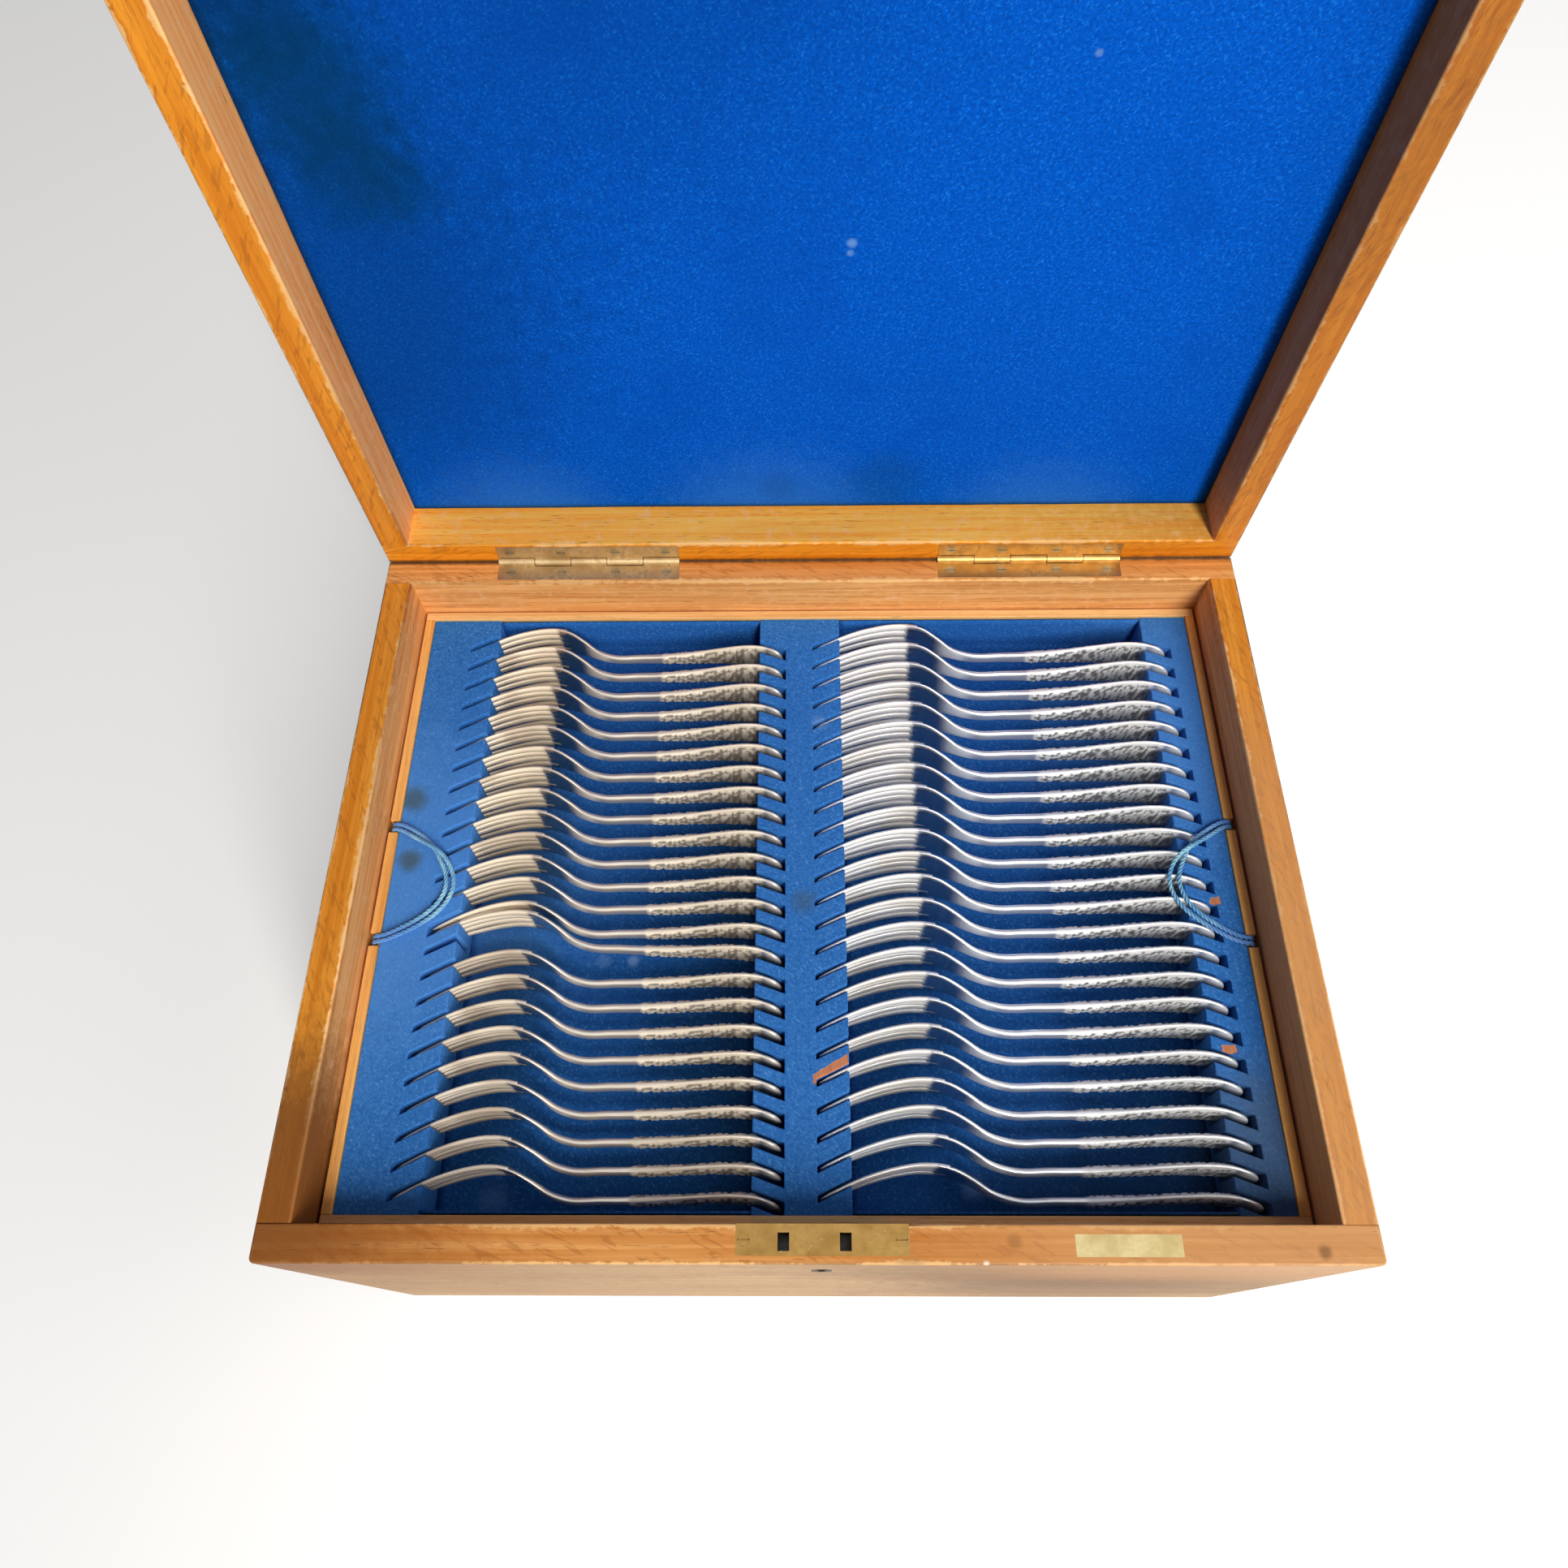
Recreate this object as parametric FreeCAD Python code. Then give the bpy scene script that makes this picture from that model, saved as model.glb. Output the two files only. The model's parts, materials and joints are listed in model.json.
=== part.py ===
"""Oak cutlery canteen: a case with a hinged lid, a lock, a lift-out fork tray and three lower trays.

Millimetres, +Z up, +Y to the back, origin at the centre of the case's underside. The lid stands open.
"""
import FreeCAD
import Part
import math
import os

Vector = FreeCAD.Vector
X_AXIS = Vector(1, 0, 0)
Y_AXIS = Vector(0, 1, 0)
Z_AXIS = Vector(0, 0, 1)

# Forks: 24 of each kind stand on edge, tines to the left
FORKS_PER_BAY = 24
FORK_PITCH = 12.9
DESSERT_LENGTH = 177.0
DESSERT_TINE_SPAN = 22.0
DESSERT_HANDLE_WIDTH = 19.6
DESSERT_RISE = 14.4
TABLE_LENGTH = 199.5
TABLE_TINE_SPAN = 25.0
TABLE_HANDLE_WIDTH = 22.0
TABLE_RISE = 15.2
TINES = 4
TINE_WIDTH_SHARE = 0.145
TINE_ROOT_SHARE = 0.27
TINE_THICKNESS = 1.7
BOWL_THICKNESS = 2.0
NECK_THICKNESS = 3.4
HANDLE_THICKNESS = 2.8
THICKNESS_SHARES = (0.0, 0.27, 0.43, 0.60, 0.85, 1.0)
# Side view of a fork: share of the length, share of the rise
PROFILE_SHARES = (
    (0.0, 0.0), (0.09, 0.56), (0.17, 0.88), (0.24, 1.0), (0.30, 0.90), (0.35, 0.57),
    (0.395, 0.20), (0.44, 0.02), (0.54, 0.0), (0.72, 0.0), (0.88, -0.03), (0.94, -0.13), (1.0, -0.38),
)
# Front view of a fork behind its tines: share of the length, share of half the tine span
BOWL_SHARES = ((0.27, 1.0), (0.315, 0.95), (0.355, 0.66), (0.39, 0.38), (0.43, 0.29))
# Front view of a handle: share of the length, share of half the handle width
HANDLE_SHARES = (
    (0.52, 0.30), (0.62, 0.34), (0.70, 0.47), (0.80, 0.74), (0.89, 0.98), (0.95, 0.95), (0.985, 0.62),
)
LEANING_FORK = 14
LEAN_GAP = 2.5

# Racks that hold the forks, covered in baize
LEFT_RACK_WIDTH = 38.5
CENTRE_RACK_WIDTH = 45.5
RIGHT_RACK_WIDTH = 26.0
TINE_SEAT = 14.2
HANDLE_SEAT = 13.5
TINE_SLOT = 3.6
WORN_SLOT_EXTRA = 3.2
HANDLE_SLOT = 7.0
SLOT_END_GAP = 1.4
SEAT_GAP = 0.3
FORK_OVER_RACK = 0.6

# Lift-out tray
BACK_MARGIN = 19.0
FRONT_MARGIN = 7.8
TRAY_STRIP = 5.0
TRAY_FLOOR = 4.0
TRAY_OVER_RACK = 1.5
FORK_FLOOR_GAP = 1.6
BAIZE = 1.0
BAIZE_CLEARANCE = 0.3
SIDE_GAP = 1.5
END_GAP = 1.2

# Lifting cords: notch over the tray side, then a groove down its outer face
CORD_DIAMETER = 2.4
CORD_NOTCH_WIDTH = 6.4
CORD_NOTCH_DEPTH = 3.0
CORD_GROOVE_DEPTH = 3.2
CORD_GROOVE_DROP = 5.6
LEFT_NOTCHES = (30.0, -32.2)
RIGHT_NOTCHES = (30.0, -33.8)
CORD_ARC_SHARE = 0.45
CORD_END_Z = 193.6
CORD_REST_Z = 199.2
CORD_LOW_HUMP_Z = 200.3
CORD_HUMP_Z = 202.4
# Routes in plan with the height of each point, from the back notch to the front notch
LEFT_UNDER_ROUTE = (
    (-218.9, 31.4, CORD_END_Z), (-218.9, 31.4, CORD_REST_Z), (-212.8, 30.8, CORD_REST_Z),
    (-204.6, 26.4, CORD_REST_Z), (-196.8, 20.4, CORD_REST_Z), (-191.4, 12.2, CORD_REST_Z),
    (-187.2, 4.3, CORD_REST_Z), (-185.5, -3.5, CORD_REST_Z), (-187.4, -11.2, CORD_REST_Z),
    (-192.7, -17.8, CORD_REST_Z), (-199.8, -23.2, CORD_REST_Z), (-207.1, -27.2, CORD_REST_Z),
    (-213.2, -30.2, CORD_REST_Z), (-218.9, -30.8, CORD_REST_Z), (-218.9, -30.8, CORD_END_Z),
)
LEFT_OVER_ROUTE = (
    (-218.9, 28.6, CORD_END_Z), (-218.9, 28.6, CORD_REST_Z), (-213.2, 27.9, CORD_REST_Z),
    (-206.4, 23.6, CORD_LOW_HUMP_Z), (-198.2, 18.6, CORD_HUMP_Z), (-189.6, 13.8, CORD_HUMP_Z),
    (-183.8, 5.7, CORD_LOW_HUMP_Z), (-181.5, -3.5, CORD_REST_Z), (-184.2, -12.8, CORD_REST_Z),
    (-190.3, -20.2, CORD_REST_Z), (-198.2, -25.8, CORD_REST_Z), (-205.9, -29.9, CORD_REST_Z),
    (-213.0, -33.0, CORD_REST_Z), (-218.9, -33.6, CORD_REST_Z), (-218.9, -33.6, CORD_END_Z),
)
RIGHT_UNDER_ROUTE = (
    (218.9, 31.4, CORD_END_Z), (218.9, 31.4, CORD_REST_Z), (212.7, 30.8, CORD_REST_Z),
    (204.5, 26.0, CORD_REST_Z), (196.2, 19.5, CORD_REST_Z), (191.2, 10.6, CORD_REST_Z),
    (187.3, 2.7, CORD_REST_Z), (186.6, -4.7, CORD_REST_Z), (188.9, -12.4, CORD_REST_Z),
    (194.2, -19.3, CORD_REST_Z), (200.9, -24.8, CORD_REST_Z), (207.7, -29.2, CORD_REST_Z),
    (213.4, -31.9, CORD_REST_Z), (218.9, -32.4, CORD_REST_Z), (218.9, -32.4, CORD_END_Z),
)
RIGHT_OVER_ROUTE = (
    (218.9, 28.6, CORD_END_Z), (218.9, 28.6, CORD_REST_Z), (213.4, 27.9, CORD_REST_Z),
    (206.5, 23.0, CORD_LOW_HUMP_Z), (197.8, 17.5, CORD_HUMP_Z), (188.8, 12.4, CORD_HUMP_Z),
    (182.7, 4.3, CORD_LOW_HUMP_Z), (181.4, -5.3, CORD_REST_Z), (185.1, -14.6, CORD_REST_Z),
    (191.8, -21.7, CORD_REST_Z), (199.1, -27.2, CORD_REST_Z), (206.3, -31.8, CORD_REST_Z),
    (212.9, -34.7, CORD_REST_Z), (218.9, -35.2, CORD_REST_Z), (218.9, -35.2, CORD_END_Z),
)

# Lower trays, stacked under the top one
LOWER_TRAYS = ("second", "third", "bottom")
LOWER_TRAY_HEIGHT = 52.1
LOWER_FLOOR = 4.0
DIVIDER_THICKNESS = 6.0
DIVIDER_DROP = 8.0
STACK_GAP = 0.3

# Case boards
SIDE_WALL = 15.0
FRONT_WALL = 16.0
BACK_WALL = 16.0
BOTTOM_BOARD = 9.0
BOTTOM_REBATE = 7.0
HEADROOM = 26.0
CORNER_ROUND = 2.5
CASE_TAILS = 5
CASE_PIN = 12.0
LID_TAILS = 1
LID_PIN = 14.0
TAIL_LAP = 5.0
TAIL_FLARE = 2.0

# Lid, opened about the hinge pins
LID_RAIL = 28.0
LID_TOP = 10.0
LID_LINING = 2.5
LID_GAP = 0.4
LID_OPEN_ANGLE = 90.0
LINING_CLEARANCE = 0.3
STOP_GAP = 0.3

# Butt hinges
HINGE_LENGTH = 101.6
HINGE_INSET = 63.0
HINGE_SETBACK = 1.5
LEAF_WIDTH = 12.4
LEAF_THICKNESS = 2.0
LEAF_CLEARANCE = 0.1
KNUCKLES = 5
KNUCKLE_RADIUS = 2.8
KNUCKLE_GAP = 0.4
KNUCKLE_CLEARANCE = 0.4
PIN_RADIUS = 1.4
PIN_CLEARANCE = 0.05
HINGE_SCREW_INSET = 7.4
HINGE_SCREW_SHARES = (0.07, 0.35, 0.65, 0.93)

# Countersunk screws
SCREW_HEAD_RADIUS = 2.6
SCREW_HEAD_DEPTH = 1.7
SCREW_SHANK_RADIUS = 1.3
SCREW_LENGTH = 11.0
SCREW_CLEARANCE = 0.05
SCREW_SLOT_WIDTH = 0.7
SCREW_SLOT_DEPTH = 0.6

# Box lock in the front board
LOCK_OFFSET = 3.6
LOCK_PLATE_LENGTH = 73.0
LOCK_PLATE_WIDTH = 12.6
LOCK_PLATE_THICKNESS = 2.2
LOCK_BODY_LENGTH = 59.0
LOCK_BODY_HEIGHT = 36.0
LOCK_BODY_DEPTH = 12.0
LOCK_SHEET = 1.6
LOCK_CAP_THICKNESS = 1.2
LOCK_CLEARANCE = 0.15
STAPLE_OFFSET = 0.3
STAPLE_SPACING = 26.2
STAPLE_FORWARD = 0.8
STAPLE_HOLE_WIDTH = 4.9
STAPLE_HOLE_DEPTH = 7.3
STAPLE_CLEARANCE = 0.45
STAPLE_LENGTH = 10.4
STAPLE_BAR = 2.0
EYE_WIDTH = 3.8
LINK_PLATE_THICKNESS = 1.6
BOLT_THROW = 5.6
BOLT_CLEARANCE = 0.3
BOLT_FINGER_LENGTH = 5.2
BOLT_FINGER_WIDTH = 3.0
BOLT_FINGER_HEIGHT = 3.2
BOLT_FINGER_DROP = 4.4
BOLT_POST_WIDTH = 3.0
BOLT_BAR_DROP = 12.4
BOLT_BAR_HEIGHT = 7.0
BOLT_TALON_RADIUS = 3.0
BOLT_RUN = 0.2
SPRING_WIDTH = 1.7
SPRING_THICKNESS = 0.6
SPRING_SPAN = 42.0
KEYHOLE_DROP = 29.0
KEYHOLE_RADIUS = 2.6
KEYHOLE_SLOT_WIDTH = 2.6
KEYHOLE_SLOT_LENGTH = 8.0
KEY_POST_RADIUS = 1.3
LEDGE_GAP_WIDTH = 16.0
ESCUTCHEON_WIDTH = 9.0
ESCUTCHEON_HEIGHT = 16.0
ESCUTCHEON_DEPTH = 2.0
LOCK_SCREW_INSET = 3.2

# Bare name plate on the front rim
NAME_PLATE_INSET = 105.5
NAME_PLATE_LENGTH = 44.6
NAME_PLATE_WIDTH = 8.9
NAME_PLATE_THICKNESS = 0.8
NAME_PLATE_SETBACK = 7.6
NAME_PIN_RADIUS = 0.7
NAME_PIN_LENGTH = 6.0
NAME_PIN_INSET = 3.0

OVERRUN = 5.0
TOUCH = 0.01

# Sizes that follow from the forks outwards
LEFT_BAY = DESSERT_LENGTH - TINE_SEAT - HANDLE_SEAT
RIGHT_BAY = TABLE_LENGTH - TINE_SEAT - HANDLE_SEAT
TRAY_INNER_WIDTH = LEFT_RACK_WIDTH + LEFT_BAY + CENTRE_RACK_WIDTH + RIGHT_BAY + RIGHT_RACK_WIDTH
TRAY_INNER_DEPTH = BACK_MARGIN + FORK_PITCH * (FORKS_PER_BAY - 1) + FRONT_MARGIN
TRAY_X = TRAY_INNER_WIDTH / 2 + TRAY_STRIP
TRAY_Y = TRAY_INNER_DEPTH / 2 + TRAY_STRIP
CASE_INNER_X = TRAY_X + SIDE_GAP
CASE_INNER_Y = TRAY_Y + END_GAP
CASE_X = CASE_INNER_X + SIDE_WALL
NAME_PLATE_X = CASE_X - NAME_PLATE_INSET
FRONT_Y = -CASE_INNER_Y - FRONT_WALL
BACK_Y = CASE_INNER_Y + BACK_WALL
RACK_HEIGHT = TRAY_FLOOR + FORK_FLOOR_GAP + BAIZE + TABLE_TINE_SPAN - FORK_OVER_RACK
TRAY_HEIGHT = RACK_HEIGHT + TRAY_OVER_RACK
TRAY_Z = BOTTOM_BOARD + STACK_GAP + len(LOWER_TRAYS) * (LOWER_TRAY_HEIGHT + STACK_GAP)
RACK_TOP = TRAY_Z + RACK_HEIGHT
TRAY_TOP = TRAY_Z + TRAY_HEIGHT
RIM = TRAY_TOP + HEADROOM
LID_RIM = RIM + LID_GAP
PIN_Y = BACK_Y - HINGE_SETBACK
PIN_Z = RIM + LID_GAP / 2
FORK_AXIS = RACK_TOP + FORK_OVER_RACK - TABLE_TINE_SPAN / 2
LEFT_RACK = (-TRAY_INNER_WIDTH / 2, -TRAY_INNER_WIDTH / 2 + LEFT_RACK_WIDTH)
CENTRE_RACK = (LEFT_RACK[1] + LEFT_BAY, LEFT_RACK[1] + LEFT_BAY + CENTRE_RACK_WIDTH)
RIGHT_RACK = (TRAY_INNER_WIDTH / 2 - RIGHT_RACK_WIDTH, TRAY_INNER_WIDTH / 2)
FIRST_FORK_Y = TRAY_INNER_DEPTH / 2 - BACK_MARGIN


def box(x, y, z):
    """Block between two planes on each axis."""
    return Part.makeBox(x[1] - x[0], y[1] - y[0], z[1] - z[0], Vector(x[0], y[0], z[0]))


def around(centre, size):
    """Range of a given size about a centre."""
    return (centre - size / 2, centre + size / 2)


def prism(corners, run):
    """Solid swept from a closed polygon along a vector."""
    return Part.Face(Part.makePolygon(list(corners) + [corners[0]])).extrude(run)


def prism_x(points, x):
    return prism([Vector(x[0], y, z) for y, z in points], Vector(x[1] - x[0], 0, 0))


def prism_y(points, y):
    return prism([Vector(x, y[0], z) for x, z in points], Vector(0, y[1] - y[0], 0))


def prism_z(points, z):
    return prism([Vector(x, y, z[0]) for x, y in points], Vector(0, 0, z[1] - z[0]))


def rod_x(x, y, z, radius):
    return Part.makeCylinder(radius, x[1] - x[0], Vector(x[0], y, z), X_AXIS)


def rod_y(x, y, z, radius):
    return Part.makeCylinder(radius, y[1] - y[0], Vector(x, y[0], z), Y_AXIS)


def moved(shape, x, y, z):
    copy = shape.copy()
    copy.translate(Vector(x, y, z))
    return copy


def opened(shape):
    """Lid piece, drawn closed, turned about the hinge pins to its open rest."""
    copy = shape.copy()
    copy.rotate(Vector(0, PIN_Y, PIN_Z), X_AXIS, -LID_OPEN_ANGLE)
    return copy


def cut_all(shape, tools):
    return shape.cut(Part.makeCompound(tools)) if tools else shape


def mirrored_ranges(span):
    """A range on the right-hand side and its mirror on the left."""
    return (span, (-span[1], -span[0]))


def rounded_corners(board, y):
    """Board with its two outer upright edges rounded at the face y."""
    edges = []
    for edge in board.Edges:
        low = edge.BoundBox
        upright = low.XLength + low.YLength < low.ZLength
        if upright and abs(abs(low.XMin) - CASE_X) < TOUCH and abs(low.YMin - y) < TOUCH:
            edges.append(edge)
    return board.makeFillet(CORNER_ROUND, edges)


def tails(inner_y, outward, wall, z, count, pin):
    """Dovetails on both sides' ends, from a board's inner face into its thickness."""
    step = (z[1] - z[0]) / count
    tip_y = inner_y + outward * (wall - TAIL_LAP)
    solids = []
    for i in range(count):
        low = z[0] + i * step + pin / 2
        high = z[0] + (i + 1) * step - pin / 2
        outline = ((inner_y, low), (inner_y, high), (tip_y, high + TAIL_FLARE), (tip_y, low - TAIL_FLARE))
        for x in mirrored_ranges((CASE_INNER_X, CASE_X)):
            solids.append(prism_x(outline, x))
    return solids


def board_frame(z, tail_z, tail_count, pin):
    """Front, back, left and right boards of a dovetailed box."""
    inner = (-CASE_INNER_Y, CASE_INNER_Y)
    front_tails = tails(-CASE_INNER_Y, -1, FRONT_WALL, tail_z, tail_count, pin)
    back_tails = tails(CASE_INNER_Y, 1, BACK_WALL, tail_z, tail_count, pin)
    front = rounded_corners(box((-CASE_X, CASE_X), (FRONT_Y, -CASE_INNER_Y), z), FRONT_Y)
    back = rounded_corners(box((-CASE_X, CASE_X), (CASE_INNER_Y, BACK_Y), z), BACK_Y)
    front = cut_all(front, front_tails)
    back = cut_all(back, back_tails)
    sides = []
    for x, side in zip(mirrored_ranges((CASE_INNER_X, CASE_X)), (1, -1)):
        own = [t for t in front_tails + back_tails if t.CenterOfMass.x * side > 0]
        sides.append(box(x, inner, z).multiFuse(own).removeSplitter())
    return front, back, sides[1], sides[0]


def stop_wedge(side):
    """Wood removed behind the pins so that case and lid meet as a stop when the lid is open."""
    half = math.radians(LID_OPEN_ANGLE / 2)
    reach = BACK_WALL
    along = (math.cos(half) * reach, side * math.sin(half) * reach)
    start = (PIN_Y, PIN_Z + side * STOP_GAP / 2)
    corners = (
        start,
        (start[0] + along[0], start[1] + along[1]),
        (start[0] + along[0], start[1] - side * reach),
        (start[0], start[1] - side * reach),
    )
    return prism_x(corners, (-CASE_X - OVERRUN, CASE_X + OVERRUN))


def hinge_spans():
    outer = CASE_X - HINGE_INSET
    right, left = mirrored_ranges((outer - HINGE_LENGTH, outer))
    return [left, right]


def hinge_screw_places():
    return [span[0] + share * HINGE_LENGTH for span in hinge_spans() for share in HINGE_SCREW_SHARES]


def screw():
    """Countersunk slotted screw, head up, its top at the origin."""
    under = Vector(0, 0, -SCREW_HEAD_DEPTH)
    head = Part.makeCone(SCREW_SHANK_RADIUS, SCREW_HEAD_RADIUS, SCREW_HEAD_DEPTH, under)
    shank = Part.makeCylinder(SCREW_SHANK_RADIUS, SCREW_LENGTH, Vector(0, 0, -SCREW_LENGTH))
    slot = box(around(0, 2 * SCREW_HEAD_RADIUS), around(0, SCREW_SLOT_WIDTH), (-SCREW_SLOT_DEPTH, OVERRUN))
    return head.fuse(shank).cut(slot)


def screw_hole():
    """Space that a screw takes in plate and wood."""
    gap = SCREW_CLEARANCE
    head = Part.makeCone(
        SCREW_SHANK_RADIUS + gap, SCREW_HEAD_RADIUS + gap, SCREW_HEAD_DEPTH, Vector(0, 0, -SCREW_HEAD_DEPTH))
    mouth = Part.makeCylinder(SCREW_HEAD_RADIUS + gap, OVERRUN)
    length = SCREW_LENGTH + gap
    shank = Part.makeCylinder(SCREW_SHANK_RADIUS + gap, length, Vector(0, 0, -length))
    return head.multiFuse([mouth, shank])


def upturned(shape):
    copy = shape.copy()
    copy.rotate(Vector(0, 0, 0), X_AXIS, 180)
    return copy


def case_hinge_screws(maker):
    return [moved(maker(), x, PIN_Y - HINGE_SCREW_INSET, RIM) for x in hinge_screw_places()]


def lid_hinge_screws(maker):
    return [moved(upturned(maker()), x, PIN_Y - HINGE_SCREW_INSET, LID_RIM) for x in hinge_screw_places()]


def lock_screw_places():
    reach = LOCK_PLATE_LENGTH / 2 - LOCK_SCREW_INSET
    return [LOCK_OFFSET + side * reach for side in (-1, 1)]


def lock_plate_y():
    return (-CASE_INNER_Y - LOCK_PLATE_WIDTH, -CASE_INNER_Y)


def lock_screws(maker):
    y = sum(lock_plate_y()) / 2
    return [moved(maker(), x, y, RIM) for x in lock_screw_places()]


def link_screws(maker):
    y = sum(lock_plate_y()) / 2
    return [moved(upturned(maker()), x, y, LID_RIM) for x in lock_screw_places()]


def hinge_pockets(z):
    """Leaf pockets and knuckle grooves for both hinges in a rim."""
    tools = []
    for span in hinge_spans():
        wide = (span[0] - LEAF_CLEARANCE, span[1] + LEAF_CLEARANCE)
        tools.append(rod_x(wide, PIN_Y, PIN_Z, KNUCKLE_RADIUS + KNUCKLE_CLEARANCE))
        tools.append(box(wide, (PIN_Y - LEAF_WIDTH - LEAF_CLEARANCE, PIN_Y), z))
    return tools


def keyhole(y):
    """Round hole with a slot below, along Y."""
    z = RIM - KEYHOLE_DROP
    slot = box(around(LOCK_OFFSET, KEYHOLE_SLOT_WIDTH), y, (z - KEYHOLE_SLOT_LENGTH, z))
    return rod_y(LOCK_OFFSET, y, z, KEYHOLE_RADIUS).fuse(slot)


def escutcheon_blank(y):
    """Long plate with round ends about the keyhole."""
    half = ESCUTCHEON_WIDTH / 2
    reach = (ESCUTCHEON_HEIGHT - ESCUTCHEON_WIDTH) / 2
    middle = RIM - KEYHOLE_DROP - KEYHOLE_SLOT_LENGTH / 2 + KEYHOLE_RADIUS / 2
    bar = box(around(LOCK_OFFSET, 2 * half), y, (middle - reach, middle + reach))
    ends = [rod_y(LOCK_OFFSET, y, middle + side * reach, half) for side in (-1, 1)]
    return bar.multiFuse(ends).removeSplitter()


def lock_body(grow):
    """Outer block of the lock, under its plate."""
    x = around(LOCK_OFFSET, LOCK_BODY_LENGTH + 2 * grow)
    y = (-CASE_INNER_Y - LOCK_BODY_DEPTH - grow, -CASE_INNER_Y)
    top = RIM - LOCK_PLATE_THICKNESS
    return box(x, y, (top - LOCK_BODY_HEIGHT - grow, top))


def name_plate_block():
    x = around(NAME_PLATE_X, NAME_PLATE_LENGTH)
    y = around(FRONT_Y + NAME_PLATE_SETBACK, NAME_PLATE_WIDTH)
    return box(x, y, (RIM - NAME_PLATE_THICKNESS, RIM))


def name_pins(radius):
    reach = NAME_PLATE_LENGTH / 2 - NAME_PIN_INSET
    base = Vector(NAME_PLATE_X, FRONT_Y + NAME_PLATE_SETBACK, RIM - NAME_PIN_LENGTH)
    return [
        Part.makeCylinder(radius, NAME_PIN_LENGTH, base + Vector(side * reach, 0, 0)) for side in (-1, 1)
    ]


def case_nodes():
    """Dovetailed case with a bottom board in a rebate, and its mortises for hinges, lock and name plate."""
    z = (0, RIM)
    front, back, left, right = board_frame(z, (BOTTOM_BOARD, RIM), CASE_TAILS, CASE_PIN)
    bottom_x = CASE_INNER_X + BOTTOM_REBATE
    bottom_y = CASE_INNER_Y + BOTTOM_REBATE
    bottom = box((-bottom_x, bottom_x), (-bottom_y, bottom_y), (0, BOTTOM_BOARD))
    plate_x = around(LOCK_OFFSET, LOCK_PLATE_LENGTH)
    front_tools = [
        bottom,
        lock_body(LOCK_CLEARANCE),
        box(plate_x, lock_plate_y(), (RIM - LOCK_PLATE_THICKNESS, RIM + OVERRUN)),
        keyhole((FRONT_Y - OVERRUN, -CASE_INNER_Y - LOCK_BODY_DEPTH)),
        escutcheon_blank((FRONT_Y - OVERRUN, FRONT_Y + ESCUTCHEON_DEPTH)),
        name_plate_block(),
    ]
    front_tools += lock_screws(screw_hole) + name_pins(NAME_PIN_RADIUS + SCREW_CLEARANCE)
    back_tools = [bottom, stop_wedge(-1)]
    back_tools += hinge_pockets((RIM - LEAF_THICKNESS, RIM + OVERRUN)) + case_hinge_screws(screw_hole)
    return {
        "case_front": cut_all(front, front_tools),
        "case_back": cut_all(back, back_tools),
        "case_left_side": left.cut(bottom),
        "case_right_side": right.cut(bottom),
        "case_bottom": bottom,
    }


def lid_nodes():
    """Lid of four dovetailed rails under a top board, with a lined recess."""
    z = (LID_RIM, LID_RIM + LID_RAIL)
    front, back, left, right = board_frame(z, z, LID_TAILS, LID_PIN)
    top_z = (z[1], z[1] + LID_TOP)
    top = box((-CASE_X, CASE_X), (FRONT_Y, BACK_Y), top_z)
    upright = [e for e in top.Edges if e.BoundBox.ZLength > e.BoundBox.XLength + e.BoundBox.YLength]
    top = top.makeFillet(CORNER_ROUND, upright)
    outline = [e for e in top.Edges if abs(e.BoundBox.ZMin - top_z[1]) < TOUCH]
    top = top.makeFillet(CORNER_ROUND, outline)
    inset = LINING_CLEARANCE
    lining = box(
        (-CASE_INNER_X + inset, CASE_INNER_X - inset),
        (-CASE_INNER_Y + inset, CASE_INNER_Y - inset),
        (z[1] - LID_LINING, z[1]),
    )
    plate_z = (LID_RIM, LID_RIM + LINK_PLATE_THICKNESS)
    plate = box(around(LOCK_OFFSET, LOCK_PLATE_LENGTH), lock_plate_y(), plate_z)
    back_tools = [stop_wedge(1)]
    back_tools += hinge_pockets((LID_RIM - OVERRUN, LID_RIM + LEAF_THICKNESS)) + lid_hinge_screws(screw_hole)
    solids = {
        "lid_front_rail": cut_all(front, [plate] + link_screws(screw_hole)),
        "lid_back_rail": cut_all(back, back_tools),
        "lid_left_rail": left,
        "lid_right_rail": right,
        "lid_top": top,
        "lid_lining": lining,
    }
    return {name: opened(solid) for name, solid in solids.items()}


def hinge_leaf(span, z, own):
    """Leaf with its own knuckles, cut clear of the other leaf's; own is 0 or 1 for the first knuckle."""
    leaf = box(span, (PIN_Y - LEAF_WIDTH, PIN_Y), z)
    step = HINGE_LENGTH / KNUCKLES
    knuckles = []
    rooms = []
    for i in range(KNUCKLES):
        ends = (span[0] + i * step, span[0] + (i + 1) * step)
        if i % 2 == own:
            trim = KNUCKLE_GAP / 2
            inner = (ends[0] + trim * (i > 0), ends[1] - trim * (i < KNUCKLES - 1))
            knuckles.append(rod_x(inner, PIN_Y, PIN_Z, KNUCKLE_RADIUS))
        else:
            rooms.append(rod_x(ends, PIN_Y, PIN_Z, KNUCKLE_RADIUS + KNUCKLE_CLEARANCE))
    bore = rod_x((span[0] - OVERRUN, span[1] + OVERRUN), PIN_Y, PIN_Z, PIN_RADIUS + PIN_CLEARANCE)
    return cut_all(cut_all(leaf, rooms).multiFuse(knuckles), [bore]).removeSplitter()


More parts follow.
